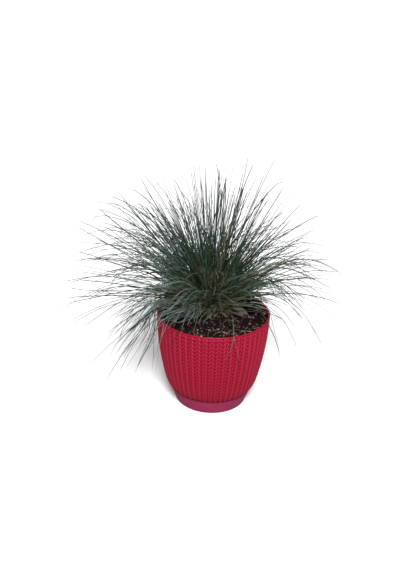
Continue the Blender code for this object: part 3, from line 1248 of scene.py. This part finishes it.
@dataclass(frozen=True)
class Sway:
    """How far blades stray from the lines they are grown on; lengths are shares of the blade's own."""

    turn: float  # degrees about the upright axis
    tilt: float  # degrees up or down
    bend: float
    wave: float
    sag: float
    arch: float = 0.0
    ripples: Span = (1.2, 2.6)  # half waves along a blade
    late: float = 2.4  # how late along a blade it sags
    up_bend: float = 0.6  # share of the bend that goes up or down
    uneven: float = 0.4  # spread of the arch, as a share of it

    def move(self, lines: np.ndarray, chance: Chance) -> np.ndarray:
        """Turn, tilt and curve each blade about its root.

        Args:
            lines: Centre lines, blade by station by x, y, z.
            chance: The random numbers to draw from.

        Returns:
            The moved lines.
        """
        count, stations = lines.shape[:2]
        root = lines[:, :1]
        reach = lines - root
        turn = np.radians(chance.normal(0.0, self.turn, count))[:, None]
        x, y, z = reach[..., 0], reach[..., 1], reach[..., 2]
        x, y = x * np.cos(turn) - y * np.sin(turn), x * np.sin(turn) + y * np.cos(turn)
        reach = np.stack((x, y, z), axis=-1)
        axis = unit(reach[:, -1:])
        side = unit(np.cross(axis, NEARLY_UP))
        over = np.cross(side, axis)
        tilt = np.radians(chance.normal(0.0, self.tilt, count))[:, None, None]
        ahead = (reach * axis).sum(axis=-1, keepdims=True)
        above = (reach * over).sum(axis=-1, keepdims=True)
        reach = reach + (ahead * over - above * axis) * np.sin(tilt)
        reach = reach + (ahead * axis + above * over) * (np.cos(tilt) - 1)
        length = np.linalg.norm(reach[:, -1:], axis=-1, keepdims=True)
        place = np.linspace(0.0, 1.0, stations)[None, :, None]
        bend = chance.normal(0.0, self.bend, (2, count, 1, 1))
        wave = chance.normal(0.0, self.wave, (2, count, 1, 1))
        waves = np.sin(math.pi * place * chance.uniform(*self.ripples, (count, 1, 1))) * place
        reach = reach + length * side * (bend[0] * place**2 + wave[0] * waves)
        reach = reach + length * over * (self.up_bend * bend[1] * place**2 + wave[1] * waves)
        sag = np.abs(chance.normal(0.0, self.sag, (count, 1, 1)))
        reach = reach - length * sag * place**self.late * UP
        arch = chance.normal(self.arch, self.uneven * self.arch, (count, 1, 1))
        return root + reach + length * over * arch * 4.0 * place * (1.0 - place)


def directions(bearing: np.ndarray, rise: np.ndarray) -> np.ndarray:
    """Unit vectors at bearings about the upright axis and rises over the level, in radians."""
    return np.stack((np.cos(bearing) * np.cos(rise), np.sin(bearing) * np.cos(rise), np.sin(rise)), axis=1)


def arcs(
    lean: np.ndarray, length: np.ndarray, droop: np.ndarray, places: np.ndarray, power: float = 2.2
) -> np.ndarray:
    """Lines that leave the origin and droop more and more.

    Args:
        lean: The direction in which each line starts.
        length: Each line's length, blade by 1 by 1.
        droop: The fall of each tip as a share of the length, blade by 1 by 1.
        places: The stations, from 0 at the root to 1 at the tip.
        power: How late along the line it falls.

    Returns:
        Centre lines, blade by station by x, y, z.
    """
    place = places[None, :, None]
    return length * (place * lean[:, None] - droop * place**power * UP)


def held_in(lines: np.ndarray, over: float = 0.004) -> np.ndarray:
    """Shorten the blades that would leave the solids' box.

    Args:
        lines: Centre lines, blade by station by x, y, z.
        over: How far past the box they may reach.

    Returns:
        The shortened lines.
    """
    low, high = np.array(CAD_BOX[0]) - over, np.array(CAD_BOX[1]) + over
    root = lines[:, :1]
    reach = lines - root
    room = np.where(reach > 0, high - root, root - low)
    share = np.clip((room / np.maximum(np.abs(reach), 1e-9)).min(axis=(1, 2)), 0.0, 1.0)
    return root + reach * share[:, None, None]


@dataclass
class Keeper:
    """Keeps blades off the soil, the lip and the pot's wall."""

    pot: Pot
    soil: Soil
    margin: float = 0.0006
    rounds: int = 5
    fineness: int = 6
    deep: float = 0.006  # below the lip by more than this, a blade is pushed out and not up
    nearest: float = 0.25  # a station answers for a point only from this share of it
    follow: float = 0.35  # how far a station goes along with those beside it

    def pushes(self, points: np.ndarray, half: np.ndarray) -> np.ndarray:
        """Find the move that brings each point clear.

        Args:
            points: Points on the centre lines.
            half: Half the width of the blade at each.

        Returns:
            The move of each point, zero where it is clear.
        """
        x, y, z = points[..., 0], points[..., 1], points[..., 2]
        radius = np.hypot(x, y)
        need = half + self.margin
        lip_in = self.pot.rim_radius - self.pot.wall
        over_lip = (radius > lip_in - need) & (radius < self.pot.rim_radius + need)
        over_lip &= z > self.pot.height - self.deep
        up = np.where(over_lip, self.pot.height + need - z, 0.0)
        inside = radius <= lip_in - need
        up = np.where(inside, self.soil.level(x, y) + self.soil.lump + need - z, up)
        beside = (radius > lip_in - need) & (z <= self.pot.height - self.deep) & (z > 0.0)
        wall = self.pot.radius_at(np.clip(z, self.pot.ledge_z, self.pot.height))
        out = np.where(beside, wall + need - radius, 0.0)
        up, out = np.maximum(up, 0.0), np.maximum(out, 0.0)
        outward = np.stack((x, y, np.zeros_like(x)), axis=-1) / np.maximum(radius, 1e-6)[..., None]
        return out[..., None] * outward + up[..., None] * UP

    def clear(self, lines: np.ndarray, widths: np.ndarray, first: int = 1) -> np.ndarray:
        """Move blades' centre lines clear.

        Args:
            lines: Centre lines, blade by station by x, y, z.
            widths: Full widths, blade by station.
            first: The first station that may move; those before it are rooted.

        Returns:
            The moved lines.
        """
        lines = lines.copy()
        stations = lines.shape[1]
        steps = np.linspace(0.0, 1.0, self.fineness + 1)
        for _ in range(self.rounds):
            moved = np.zeros_like(lines)
            for cell in range(first, stations - 1):
                for t in steps:
                    point = lines[:, cell] * (1 - t) + lines[:, cell + 1] * t
                    half = (widths[:, cell] * (1 - t) + widths[:, cell + 1] * t) / 2
                    push = self.pushes(point, half)
                    for station, share in ((cell, 1 - t), (cell + 1, t)):
                        if share < self.nearest or station < first:
                            continue
                        larger = (push**2).sum(axis=1) > (moved[:, station] ** 2).sum(axis=1)
                        moved[larger, station] = push[larger]
            spread = moved.copy()
            pushed = np.abs(moved[:, 1:-1]).sum(axis=2, keepdims=True) > 0
            beside = self.follow * (moved[:, :-2] + moved[:, 2:])
            spread[:, 1:-1] = np.where(pushed, moved[:, 1:-1], beside)
            spread[:, :first] = 0.0
            lines += spread
        return lines


def guide_lines(node: Piece, bends: int) -> np.ndarray:
    """Centre lines of a solid tuft's four blades, from root to tip.

    Args:
        node: The tuft's node.
        bends: Steps that each blade of the solid bends in.

    Returns:
        Blade by step by x, y, z.
    """
    loose = points_of(node.data)
    keys, index = np.unique(np.rint(loose / WELD).astype(np.int64), axis=0, return_inverse=True)
    index = index.ravel()
    places = keys * WELD
    near: list[set[int]] = [set() for _ in keys]
    for face in node.data.polygons:
        corners = {int(index[corner]) for corner in face.vertices}
        for corner in corners:
            near[corner] |= corners - {corner}
    middle = np.array(CROWN_MIDDLE)
    ends = [number for number, around in enumerate(near) if len(around) == 3]
    ends.sort(key=lambda number: -float(np.linalg.norm(places[number] - middle)))
    lines = []
    for tip in ends[:4]:
        seen, front, line = {tip}, {tip}, [places[tip]]
        for _ in range(bends):
            front = set().union(*(near[number] for number in front)) - seen
            seen |= front
            line.append(places[sorted(front)].mean(axis=0))
        lines.append(line[::-1])
    return np.array(lines)


class Ring(Enum):
    """The rings of tufts, by the record's slots."""

    UPRIGHT = "blades_upright"
    STEEP = "blades_steep"
    RAISED = "blades_raised"
    MIDDLE = "blades_middle"
    SPREADING = "blades_spreading"
    FALLING = "blades_falling"


@dataclass(frozen=True)
class Habit:
    """How the tufts of a ring grow."""

    bends: int  # of the solid blades
    blades: int
    dead: float  # share of the blades
    sway: Sway
    tones: Tones


SHADED_HEART: Tones = {  # painted shade: darker colours for the heart of the clump, which lies in shade
    "low": (0.043, 0.090, 0.044),
    "middle": (0.051, 0.103, 0.078),
    "bloom": (0.165, 0.180, 0.225),
    "bloom_from": 0.80,
    "green_end": 0.54,
}
# painted light: raised colours for the spreading ring, whose low blades in front lie in light
LIT_SPREADING: Tones = {"low": (0.155, 0.218, 0.140), "middle": (0.190, 0.262, 0.215), "green_end": 0.46}
LIT_GREY: Tones = {  # the blades that hang over the lip: their own blue-grey tint, with colours raised further as painted light
    "low": (0.300, 0.385, 0.380),
    "middle": (0.370, 0.455, 0.450),
    "bloom": (0.250, 0.300, 0.300),
    "green_end": 0.50,
}
HABITS = {
    Ring.UPRIGHT: Habit(3, 22, 0.06, Sway(25.0, 6.0, 0.07, 0.014, 0.03, 0.02), SHADED_HEART),
    Ring.STEEP: Habit(3, 23, 0.11, Sway(15.0, 7.0, 0.08, 0.016, 0.05, 0.05), SHADED_HEART),
    Ring.RAISED: Habit(4, 25, 0.13, Sway(12.0, 7.0, 0.08, 0.018, 0.06, 0.08), SHADED_HEART),
    Ring.MIDDLE: Habit(4, 27, 0.15, Sway(12.0, 8.0, 0.09, 0.020, 0.08, 0.10), {"green_end": 0.44}),
    Ring.SPREADING: Habit(5, 28, 0.11, Sway(12.0, 9.0, 0.10, 0.022, 0.10, 0.11), LIT_SPREADING),
    Ring.FALLING: Habit(5, 28, 0.14, Sway(11.0, 8.0, 0.10, 0.024, 0.08, 0.08), LIT_GREY),
}

# Which way a tuft leans as the viewer sees it, in degrees from level right over upright. For each of these:
# its blades as a share of its ring's, their reach as a share of its guides', and how straight they are.
LEANING = (-60.0, -15.0, 10.0, 50.0, 75.0, 110.0, 135.0, 152.0, 163.0, 174.0, 192.0, 215.0, 250.0)
FULLNESS = (0.50, 0.34, 0.84, 0.38, 0.50, 0.60, 0.58, 2.60, 0.70, 0.10, 0.10, 0.32, 0.56)
REACH = (0.90, 1.05, 1.14, 0.98, 0.93, 1.13, 1.14, 1.20, 1.06, 0.96, 0.90, 0.76, 0.66)
STRAIGHTNESS = (0.3, 0.3, 0.3, 0.5, 0.5, 0.7, 0.85, 0.85, 0.8, 0.6, 0.4, 0.5, 0.6)


def deadness(share: float, count: int, chance: Chance) -> np.ndarray:
    """Draw which of many blades are dead, and how far.

    Args:
        share: The share of dead blades.
        count: How many blades there are.
        chance: The random numbers to draw from.

    Returns:
        For each blade 0 where it lives, or else from a half to 1.
    """
    return (chance.random(count) < share) * chance.uniform(0.5, 1.0, count)


def taper(places: np.ndarray, blunt: float = 0.52, late: float = 3.6, soft: float = 0.8) -> np.ndarray:
    """Narrow a blade towards its tip.

    Args:
        places: Places along a blade, from 0 to 1.
        blunt: The width at the tip.
        late: How late along the blade it narrows, as a power.
        soft: How gently it does, as a power.

    Returns:
        The width at each place, as a share of the greatest.
    """
    return np.clip(1.0 - places**late, 0.0, 1.0) ** soft * (1.0 - blunt) + blunt


@dataclass
class Tuft:
    """One tuft's blades, which follow the guides of its solid."""

    node: str
    ring: Ring
    number: int
    stock: BladeStock
    keeper: Keeper
    wide: float = 0.00099
    widths: Span = (0.72, 1.15)
    fan: float = 1.15  # spread of the blades beyond the guides, in half widths of the tuft
    furthest: float = 2.2
    short_share: float = 0.34
    short: Span = (0.26, 0.66)  # lengths as shares of the guides'
    long: Span = (0.66, 1.16)
    root_spread: float = 0.0065
    root_sunk: float = 0.005
    facing: Span = (-0.85, -0.60)  # y of a tuft's axis between which its blades get shorter
    facing_reach: float = 0.66  # their reach where it faces the viewer
    seed: int = 100

    def lines(self, chance: Chance) -> np.ndarray:
        """Grow the centre lines of the tuft's blades.

        Args:
            chance: The random numbers to draw from.

        Returns:
            The four guides first, then strays from blends of them.
        """
        habit = HABITS[self.ring]
        guides = guide_lines(frame["nodes"][self.node], habit.bends)
        places = self.stock.places
        middle = guides.mean(axis=0)
        axis = unit(middle[-1] - middle[0])
        side = unit(np.cross((0.0, 0.0, 1.0), axis))
        rise = np.cross(axis, side)
        tips = guides[:, -1] - middle[-1]
        by_side, by_rise = np.argsort(tips @ side), np.argsort(tips @ rise)
        wide = (guides[by_side[-1]] - guides[by_side[0]]) / 2
        tall = (guides[by_rise[-1]] - guides[by_rise[0]]) / 2
        leaning = (math.degrees(math.atan2(axis[2], axis[0])) + 90.0) % 360.0 - 90.0
        rows = (FULLNESS, REACH, STRAIGHTNESS)
        fullness, reach, straight = (float(np.interp(leaning, LEANING, row)) for row in rows)
        reach *= float(np.interp(axis[1], self.facing, (self.facing_reach, 1.0)))
        chord = np.linspace(0.0, 1.0, guides.shape[1])[:, None]
        for line in (*guides, middle):
            span = line[-1] - line[0]
            line[:] = line[0] + reach * ((line - line[0]) * (1.0 - straight) + chord * span * straight)
        grown = []
        for _ in range(round(habit.blades * fullness) - len(guides)):
            a, b = np.clip(chance.normal(0.0, self.fan, 2), -self.furthest, self.furthest)
            low, high = self.short if chance.random() < self.short_share else self.long
            root = chance.normal(0.0, self.root_spread, 2)
            line = through(middle + a * wide + b * tall, places * chance.uniform(low, high))
            grown.append(line + root[0] * side + root[1] * rise)
        strays = habit.sway.move(np.array(grown), chance)
        lines = held_in(np.concatenate((np.array([through(guide, places) for guide in guides]), strays)))
        lines[:, 0] += unit(np.array(CROWN_MIDDLE) - lines[:, 0]) * self.root_sunk
        return lines

    def build(self, material: bpy.types.Material) -> None:
        """Grow the tuft's blades and put them in place of its solid.

        Args:
            material: The ring's finish.
        """
        chance = np.random.default_rng(self.seed + self.number)
        lines = self.lines(chance)
        count = len(lines)
        widths = self.wide * chance.uniform(*self.widths, (count, 1)) * taper(self.stock.places)
        lines = self.keeper.clear(lines, widths)
        dry = deadness(HABITS[self.ring].dead, count, chance)
        dry[:4] = 0.0  # the guides live
        name = self.node.replace("tuft", "blades")
        item = self.stock.grow(name, lines, widths, dry, self.seed + self.number)
        hand_over(item, material, self.ring.value, self.node)


@dataclass(frozen=True)
class Thicket:
    """A patch of low blades that leave the crown; bearings and rises in degrees, lengths in metres."""

    name: str
    slot: Ring
    blades: int
    bearings: Span
    rises: Span
    lengths: Span
    droops: Span
    sway: Sway
    dead: float
    seed: int
    wide: float = 0.00092
    widths: Span = (0.70, 1.20)
    root_spread: float = 0.5  # of the roots' bearings on the crown round the blades' own, in radians
    root_heights: Span = (0.15, 0.85)  # on the crown, as shares of its own
    root_depths: Span = (0.55, 0.85)

    def lines(self, places: np.ndarray) -> tuple[np.ndarray, Chance]:
        """Grow the centre lines of the blades.

        Args:
            places: The stations along a blade.

        Returns:
            The lines, and the random numbers that they leave off at.
        """
        chance = np.random.default_rng(self.seed)
        bearing = np.radians(chance.uniform(*self.bearings, self.blades))
        rise = np.radians(chance.uniform(*self.rises, self.blades))
        length = chance.uniform(*self.lengths, (self.blades, 1, 1))
        droop = chance.uniform(*self.droops, (self.blades, 1, 1))
        out = bearing + chance.normal(0.0, self.root_spread, self.blades)
        up = chance.uniform(*self.root_heights, self.blades)
        root = np.stack((np.cos(out) * np.sqrt(1 - up**2), np.sin(out) * np.sqrt(1 - up**2), up), axis=1)
        root = root * np.array(CROWN_HALF) * chance.uniform(*self.root_depths, (self.blades, 1))
        root = np.array(CROWN_MIDDLE) + root
        reach = arcs(directions(bearing, rise), length, droop, places)
        return self.sway.move(root[:, None] + reach, chance), chance


SPREADING, FALLING, MIDDLE = Ring.SPREADING, Ring.FALLING, Ring.MIDDLE
THICKETS = (
    Thicket("low_blades_left", FALLING, 150, (195.0, 232.0), (-12.0, 12.0), (0.030, 0.061), (-0.05, 0.35),
            Sway(12.0, 8.0, 0.14, 0.045, 0.05), 0.12, 901),
    Thicket("low_blades_beside", SPREADING, 120, (214.0, 244.0), (-6.0, 24.0), (0.020, 0.044), (-0.05, 0.20),
            Sway(15.0, 10.0, 0.14, 0.045, 0.05), 0.20, 909),
    Thicket("hanging_blades_left", FALLING, 34, (182.0, 214.0), (-6.0, 22.0), (0.070, 0.120), (0.30, 0.80),
            Sway(9.0, 7.0, 0.12, 0.035, 0.05), 0.12, 906),
    Thicket("low_blades_front", SPREADING, 420, (195.0, 350.0), (0.0, 80.0), (0.008, 0.027), (-0.30, 0.45),
            Sway(60.0, 35.0, 0.30, 0.10, 0.06), 0.50, 902, 0.00072),
    Thicket("low_blades_right", SPREADING, 105, (-28.0, 60.0), (2.0, 46.0), (0.035, 0.080), (0.05, 0.40),
            Sway(9.0, 8.0, 0.10, 0.025, 0.05), 0.16, 903),
    Thicket("low_blades_back", SPREADING, 110, (50.0, 165.0), (5.0, 50.0), (0.035, 0.090), (0.10, 0.60),
            Sway(9.0, 8.0, 0.10, 0.025, 0.05), 0.14, 904),
    Thicket("inner_blades", MIDDLE, 240, (0.0, 360.0), (30.0, 88.0), (0.030, 0.090), (0.0, 0.25),
            Sway(25.0, 12.0, 0.13, 0.03, 0.04), 0.26, 905),
    Thicket("dry_blades_inside", MIDDLE, 110, (190.0, 345.0), (42.0, 78.0), (0.036, 0.074), (-0.15, 0.25),
            Sway(38.0, 18.0, 0.20, 0.055, 0.05), 0.60, 911, 0.00076),
    Thicket("crossing_blades", SPREADING, 60, (185.0, 235.0), (10.0, 50.0), (0.025, 0.050), (-0.2, 0.30),
            Sway(25.0, 22.0, 0.20, 0.05, 0.05), 0.20, 908),
)


@dataclass(frozen=True)
class Stray:
    """A long blade that shows on its own; bearing and rise in degrees, length in metres."""

    bearing: float
    rise: float
    length: float
    droop: float  # fall of the tip as a share of the length, below zero where the blade curves up


STRAYS = (  # placed after the blades that stand out most
    Stray(68.0, 41.0, 0.135, -0.51),
    Stray(48.0, 60.0, 0.208, 0.12),
    Stray(106.0, 48.0, 0.113, -0.60),
    Stray(113.0, 58.0, 0.153, -0.09),
    Stray(130.0, 69.0, 0.220, 0.35),
    Stray(145.0, 66.0, 0.211, 0.31),
    Stray(147.0, 55.0, 0.182, 0.15),
    Stray(150.0, 59.0, 0.222, 0.34),
    Stray(158.0, 47.0, 0.220, 0.33),
    Stray(172.0, 36.0, 0.198, 0.15),
    Stray(188.0, 32.0, 0.194, 0.40),
    Stray(185.0, -11.0, 0.141, -0.35),
    Stray(203.0, 8.0, 0.150, 0.55),
    Stray(198.0, 31.0, 0.130, 1.18),
    Stray(218.0, -30.0, 0.094, 0.28),
    Stray(23.0, 46.0, 0.195, 0.24),
    Stray(3.0, 44.0, 0.203, 0.76),
    Stray(359.0, 31.0, 0.164, 0.44),
    Stray(6.0, 43.0, 0.189, 0.48),
    Stray(314.0, 47.0, 0.077, 1.44),
)


# A dry shoot that crosses the soil and the lip in front, point by point, and its fork below the lip.
SPRIG = ((0.0205, -0.001, 0.106), (0.0210, -0.030, 0.1135), (0.0220, -0.0605, 0.1110))
SPRIG_FORKS = (
    ((0.0190, -0.0668, 0.097), (0.0128, -0.0660, 0.0821)),
    ((0.0262, -0.0645, 0.094), (0.0317, -0.0585, 0.0745)),
)


@dataclass
class LongBlades:
    """The blades that stand out of the clump one by one."""

    stock: BladeStock
    keeper: Keeper
    root: tuple[float, float, float] = (-0.003, 0.029, 0.105)
    wide: float = 0.00100
    widths: Span = (0.85, 1.15)
    blunt: float = 0.66
    sprig_wide: float = 0.00060
    sprig_dry: float = 0.5
    rooted: int = 3  # stations that stay where they are
    seed: int = 907

    def build(self, material: bpy.types.Material) -> None:
        """Grow the long blades and the dry sprig.

        Args:
            material: Their finish.
        """
        chance = np.random.default_rng(self.seed)
        bearing, rise = np.radians([(stray.bearing, stray.rise) for stray in STRAYS]).T
        length, droop = np.array([(stray.length, stray.droop) for stray in STRAYS]).T[:, :, None, None]
        places = self.stock.places
        lines = np.array(self.root) + arcs(directions(bearing, rise), length, droop, places)
        widths = self.wide * chance.uniform(*self.widths, (len(STRAYS), 1)) * taper(places, self.blunt)
        lines = self.keeper.clear(lines, widths, self.rooted)
        item = self.stock.grow("long_blades", lines, widths, np.zeros(len(STRAYS)), self.seed)
        hand_over(item, material, Ring.SPREADING.value)
        lines = np.array([through(np.array((*SPRIG, *fork)), places) for fork in SPRIG_FORKS])
        widths = np.full((len(lines), 1), self.sprig_wide) * taper(places)
        item = self.stock.grow("dry_sprig", lines, widths, np.full(len(lines), self.sprig_dry), self.seed)
        hand_over(item, material, Ring.SPREADING.value)


@dataclass
class Undergrowth:
    """The low and inner blades between the tufts."""

    stock: BladeStock
    keeper: Keeper

    def build(self, materials: dict[Ring, bpy.types.Material]) -> None:
        """Grow every thicket.

        Args:
            materials: The rings' finishes.
        """
        for thicket in THICKETS:
            lines, chance = thicket.lines(self.stock.places)
            spread = chance.uniform(*thicket.widths, (thicket.blades, 1))
            widths = thicket.wide * spread * taper(self.stock.places)
            lines = self.keeper.clear(held_in(lines), widths)
            dry = deadness(thicket.dead, thicket.blades, chance)
            item = self.stock.grow(thicket.name, lines, widths, dry, thicket.seed)
            hand_over(item, materials[thicket.slot], thicket.slot.value)


@dataclass
class Crown:
    """The tussock's base: a dome packed with sheaths, short blades and dead stubs."""

    stock: BladeStock
    keeper: Keeper
    sheaths: int = 620
    seed: int = 7
    lengths: Span = (0.008, 0.060)
    widths: Span = (0.0009, 0.0018)
    droops: Span = (-0.05, 0.35)
    stray: float = 0.22  # spread of the sheaths' directions
    dead: float = 0.38  # share of the sheaths
    shorter_in_front: float = 0.45  # share of their length that sheaths facing the viewer lack
    dome_steps: tuple[int, int] = (40, 24)
    dome_size: float = 0.90  # of the solid one
    dome_lump: float = 0.07
    dome_lumps: float = 5.0
    dome_dry: float = 0.7
    root_height: float = 0.008  # of the point that the sheaths spread from, over the crown's foot
    root_depth: float = 0.86  # where they start, as a share of the crown's size
    flatten: float = 0.8
    lift: float = 0.35
    narrowing: float = 0.8
    finish: BladeFinish = BladeFinish(
        "tussock_base",
        sheath=(0.28, 0.20, 0.11),
        low=(0.25, 0.28, 0.17),
        middle=(0.20, 0.26, 0.18),
        green_end=0.5,
    )

    def dome(self) -> Piece:
        """Model the dome under the sheaths.

        Returns:
            The dome, a little inside the solid one.
        """
        leave_all()
        segments, rings = self.dome_steps
        bpy.ops.mesh.primitive_uv_sphere_add(segments=segments, ring_count=rings, radius=1.0)
        item = taken("crown_dome")
        points = points_of(item.data)
        lumps = np.array([noise.noise(Vector(point) * self.dome_lumps) for point in points])
        points *= (self.dome_size + self.dome_lump * lumps)[:, None] * np.array(CROWN_HALF)
        move_points(item.data, points + np.array(CROWN_MIDDLE))
        return item

    def lines(self, chance: Chance) -> np.ndarray:
        """Grow the sheaths, which leave the dome all over.

        Args:
            chance: The random numbers to draw from.

        Returns:
            Centre lines, sheath by station by x, y, z.
        """
        centre = np.array([*CROWN_MIDDLE.xy, CROWN_LOW.z + self.root_height])
        reach = np.array([(CROWN_HIGH.x - CROWN_LOW.x) / 2] * 2 + [CROWN_HIGH.z - centre[2]])
        bearing = chance.uniform(0.0, math.tau, self.sheaths)
        rise = np.arcsin(chance.uniform(0.02, 1.0, self.sheaths))
        normal = directions(bearing, rise)
        start = centre + self.root_depth * reach * normal
        lean = normal * (1.0, 1.0, self.flatten) + self.lift * UP
        lean = unit(lean + chance.normal(0.0, self.stray, normal.shape))
        each = (self.sheaths, 1, 1)
        length = chance.uniform(*self.lengths, each) * chance.uniform(0.5, 1.0, each)
        length *= 1.0 - self.shorter_in_front * np.clip(-normal[:, 1], 0.0, 1.0)[:, None, None]
        return start[:, None] + arcs(lean, length, chance.uniform(*self.droops, each), self.stock.places, 2.0)

    def build(self) -> None:
        """Join the dome and its sheaths into one piece and dress it."""
        chance = np.random.default_rng(self.seed)
        lines = self.lines(chance)
        narrower = 1.0 - self.narrowing * self.stock.places**1.5
        widths = chance.uniform(*self.widths, (self.sheaths, 1)) * narrower
        lines = self.keeper.clear(lines, widths)
        dry = deadness(self.dead, self.sheaths, chance)
        item = self.stock.grow("tussock_base", lines, widths, dry, self.seed)
        dome = self.dome()
        carry(dome.data, DRY, np.full(len(dome.data.vertices), self.dome_dry))
        dome.data.uv_layers.active.name = BLADE_MAP
        activate(item)
        dome.select_set(True)
        bpy.ops.object.join()
        hand_over(item, self.finish.material(), "tussock_base", "crown")


# ---- studio ----


@dataclass
class Studio:
    """Floor, lights and the camera at the photograph's place."""

    target: Vector
    floor_radius: float = 30.0
    sky: float = 0.47
    ground: float = 0.27  # the light that the floor gives back
    haze: float = 0.12  # how far below the horizon one turns into the other
    distance: float = 0.750
    elevation: float = 26.6
    roll: float = 2.3
    focal_px: float = 673.5
    frame_px: tuple[int, int] = (400, 570)
    target_px: Span = (213.5, 310.9)
    sensor: float = 36.0
    sun_from: Span = (-85.0, 49.0)  # bearing and height in degrees
    sun_power: float = 4.0
    sun_width: float = 18.0

    def floor(self) -> None:
        """A wide pale floor."""
        leave_all()
        bpy.ops.mesh.primitive_circle_add(vertices=96, radius=self.floor_radius, fill_type="NGON")
        item = taken("studio_floor")
        item.data.materials.append(PlainFloor().material())
        item.visible_glossy = item.visible_diffuse = False

    def lights(self) -> None:
        """A pale surround and one wide, soft key light, as from a large softbox."""
        world = bpy.data.worlds.new("pale_surround")
        world.use_nodes = True
        nodes, links = world.node_tree.nodes, world.node_tree.links
        split = nodes.new("ShaderNodeSeparateXYZ")
        links.new(nodes.new("ShaderNodeTexCoord").outputs["Generated"], split.inputs["Vector"])
        shade = nodes.new("ShaderNodeMapRange")
        limits = {"From Min": -self.haze, "From Max": 0.0, "To Min": self.ground, "To Max": self.sky}
        for name, value in limits.items():
            shade.inputs[name].default_value = value
        links.new(split.outputs["Z"], shade.inputs["Value"])
        links.new(shade.outputs["Result"], nodes["Background"].inputs["Strength"])
        nodes["Background"].inputs["Color"].default_value = (1.0, 1.0, 1.0, 1.0)
        bpy.context.scene.world = world
        light = bpy.data.lights.new("soft_key", "SUN")
        light.energy, light.angle = self.sun_power, math.radians(self.sun_width)
        item = bpy.data.objects.new("soft_key", light)
        bearing, height = map(math.radians, self.sun_from)
        level = math.cos(height)
        towards = Vector((math.cos(bearing) * level, math.sin(bearing) * level, math.sin(height)))
        item.rotation_euler = towards.to_track_quat("Z", "Y").to_euler()
        bpy.context.scene.collection.objects.link(item)

    def camera(self) -> None:
        """Aim the camera so that the middle of the rim lands where the photograph has it."""
        rise = math.radians(self.elevation)
        forward = Vector((0.0, math.cos(rise), -math.sin(rise)))
        upright = Vector((0.0, math.sin(rise), math.cos(rise)))
        level = Matrix((Vector((1.0, 0.0, 0.0)), upright, -forward)).transposed()
        off_x = (self.target_px[0] - self.frame_px[0] / 2) / self.focal_px
        off_y = (self.frame_px[1] / 2 - self.target_px[1]) / self.focal_px
        to_target = Vector((off_x, off_y, -1.0)).rotation_difference(Vector((0.0, 0.0, -1.0)))
        tilt = Matrix.Rotation(math.radians(self.roll), 3, "Z")
        data = bpy.data.cameras.new("camera")
        data.sensor_width = self.sensor
        data.lens = self.focal_px * self.sensor / max(self.frame_px)
        item = bpy.data.objects.new("camera", data)
        turn = (level @ tilt @ to_target.to_matrix()).to_4x4()
        item.matrix_world = Matrix.Translation(self.target - forward * self.distance) @ turn
        bpy.context.scene.collection.objects.link(item)
        bpy.context.scene.camera = item
        bpy.context.scene.view_settings.view_transform = "Standard"

    def build(self) -> None:
        """Set up the studio."""
        self.floor()
        self.lights()
        self.camera()


# ---- the whole ----


def main() -> None:
    """Build every piece in order."""
    logging.basicConfig(level=logging.INFO, format="%(name)s %(message)s")
    pot = Pot()
    pot.build()
    Tray().build()
    soil = Soil(pot)
    soil.build()
    Rootlets(soil).build()
    BarkFlake().build()
    keeper = Keeper(pot, soil)
    Crown(BladeStock("sheath", 6), keeper).build()
    stock = BladeStock("needle", 11)
    materials = {ring: BladeFinish(ring.value, **habit.tones).material() for ring, habit in HABITS.items()}
    tufts = [part for part in frame["record"]["subparts"] if part["node"].startswith("tuft_")]
    for number, part in enumerate(tufts):
        ring = Ring(part["material_slot"])
        Tuft(part["node"], ring, number, stock, keeper).build(materials[ring])
    Undergrowth(BladeStock("low_needle", 9), keeper).build(materials)
    LongBlades(BladeStock("long_needle", 18), keeper).build(materials[Ring.SPREADING])
    Studio(Vector((0.0, 0.0, pot.height))).build()


if __name__ == "__main__":
    main()
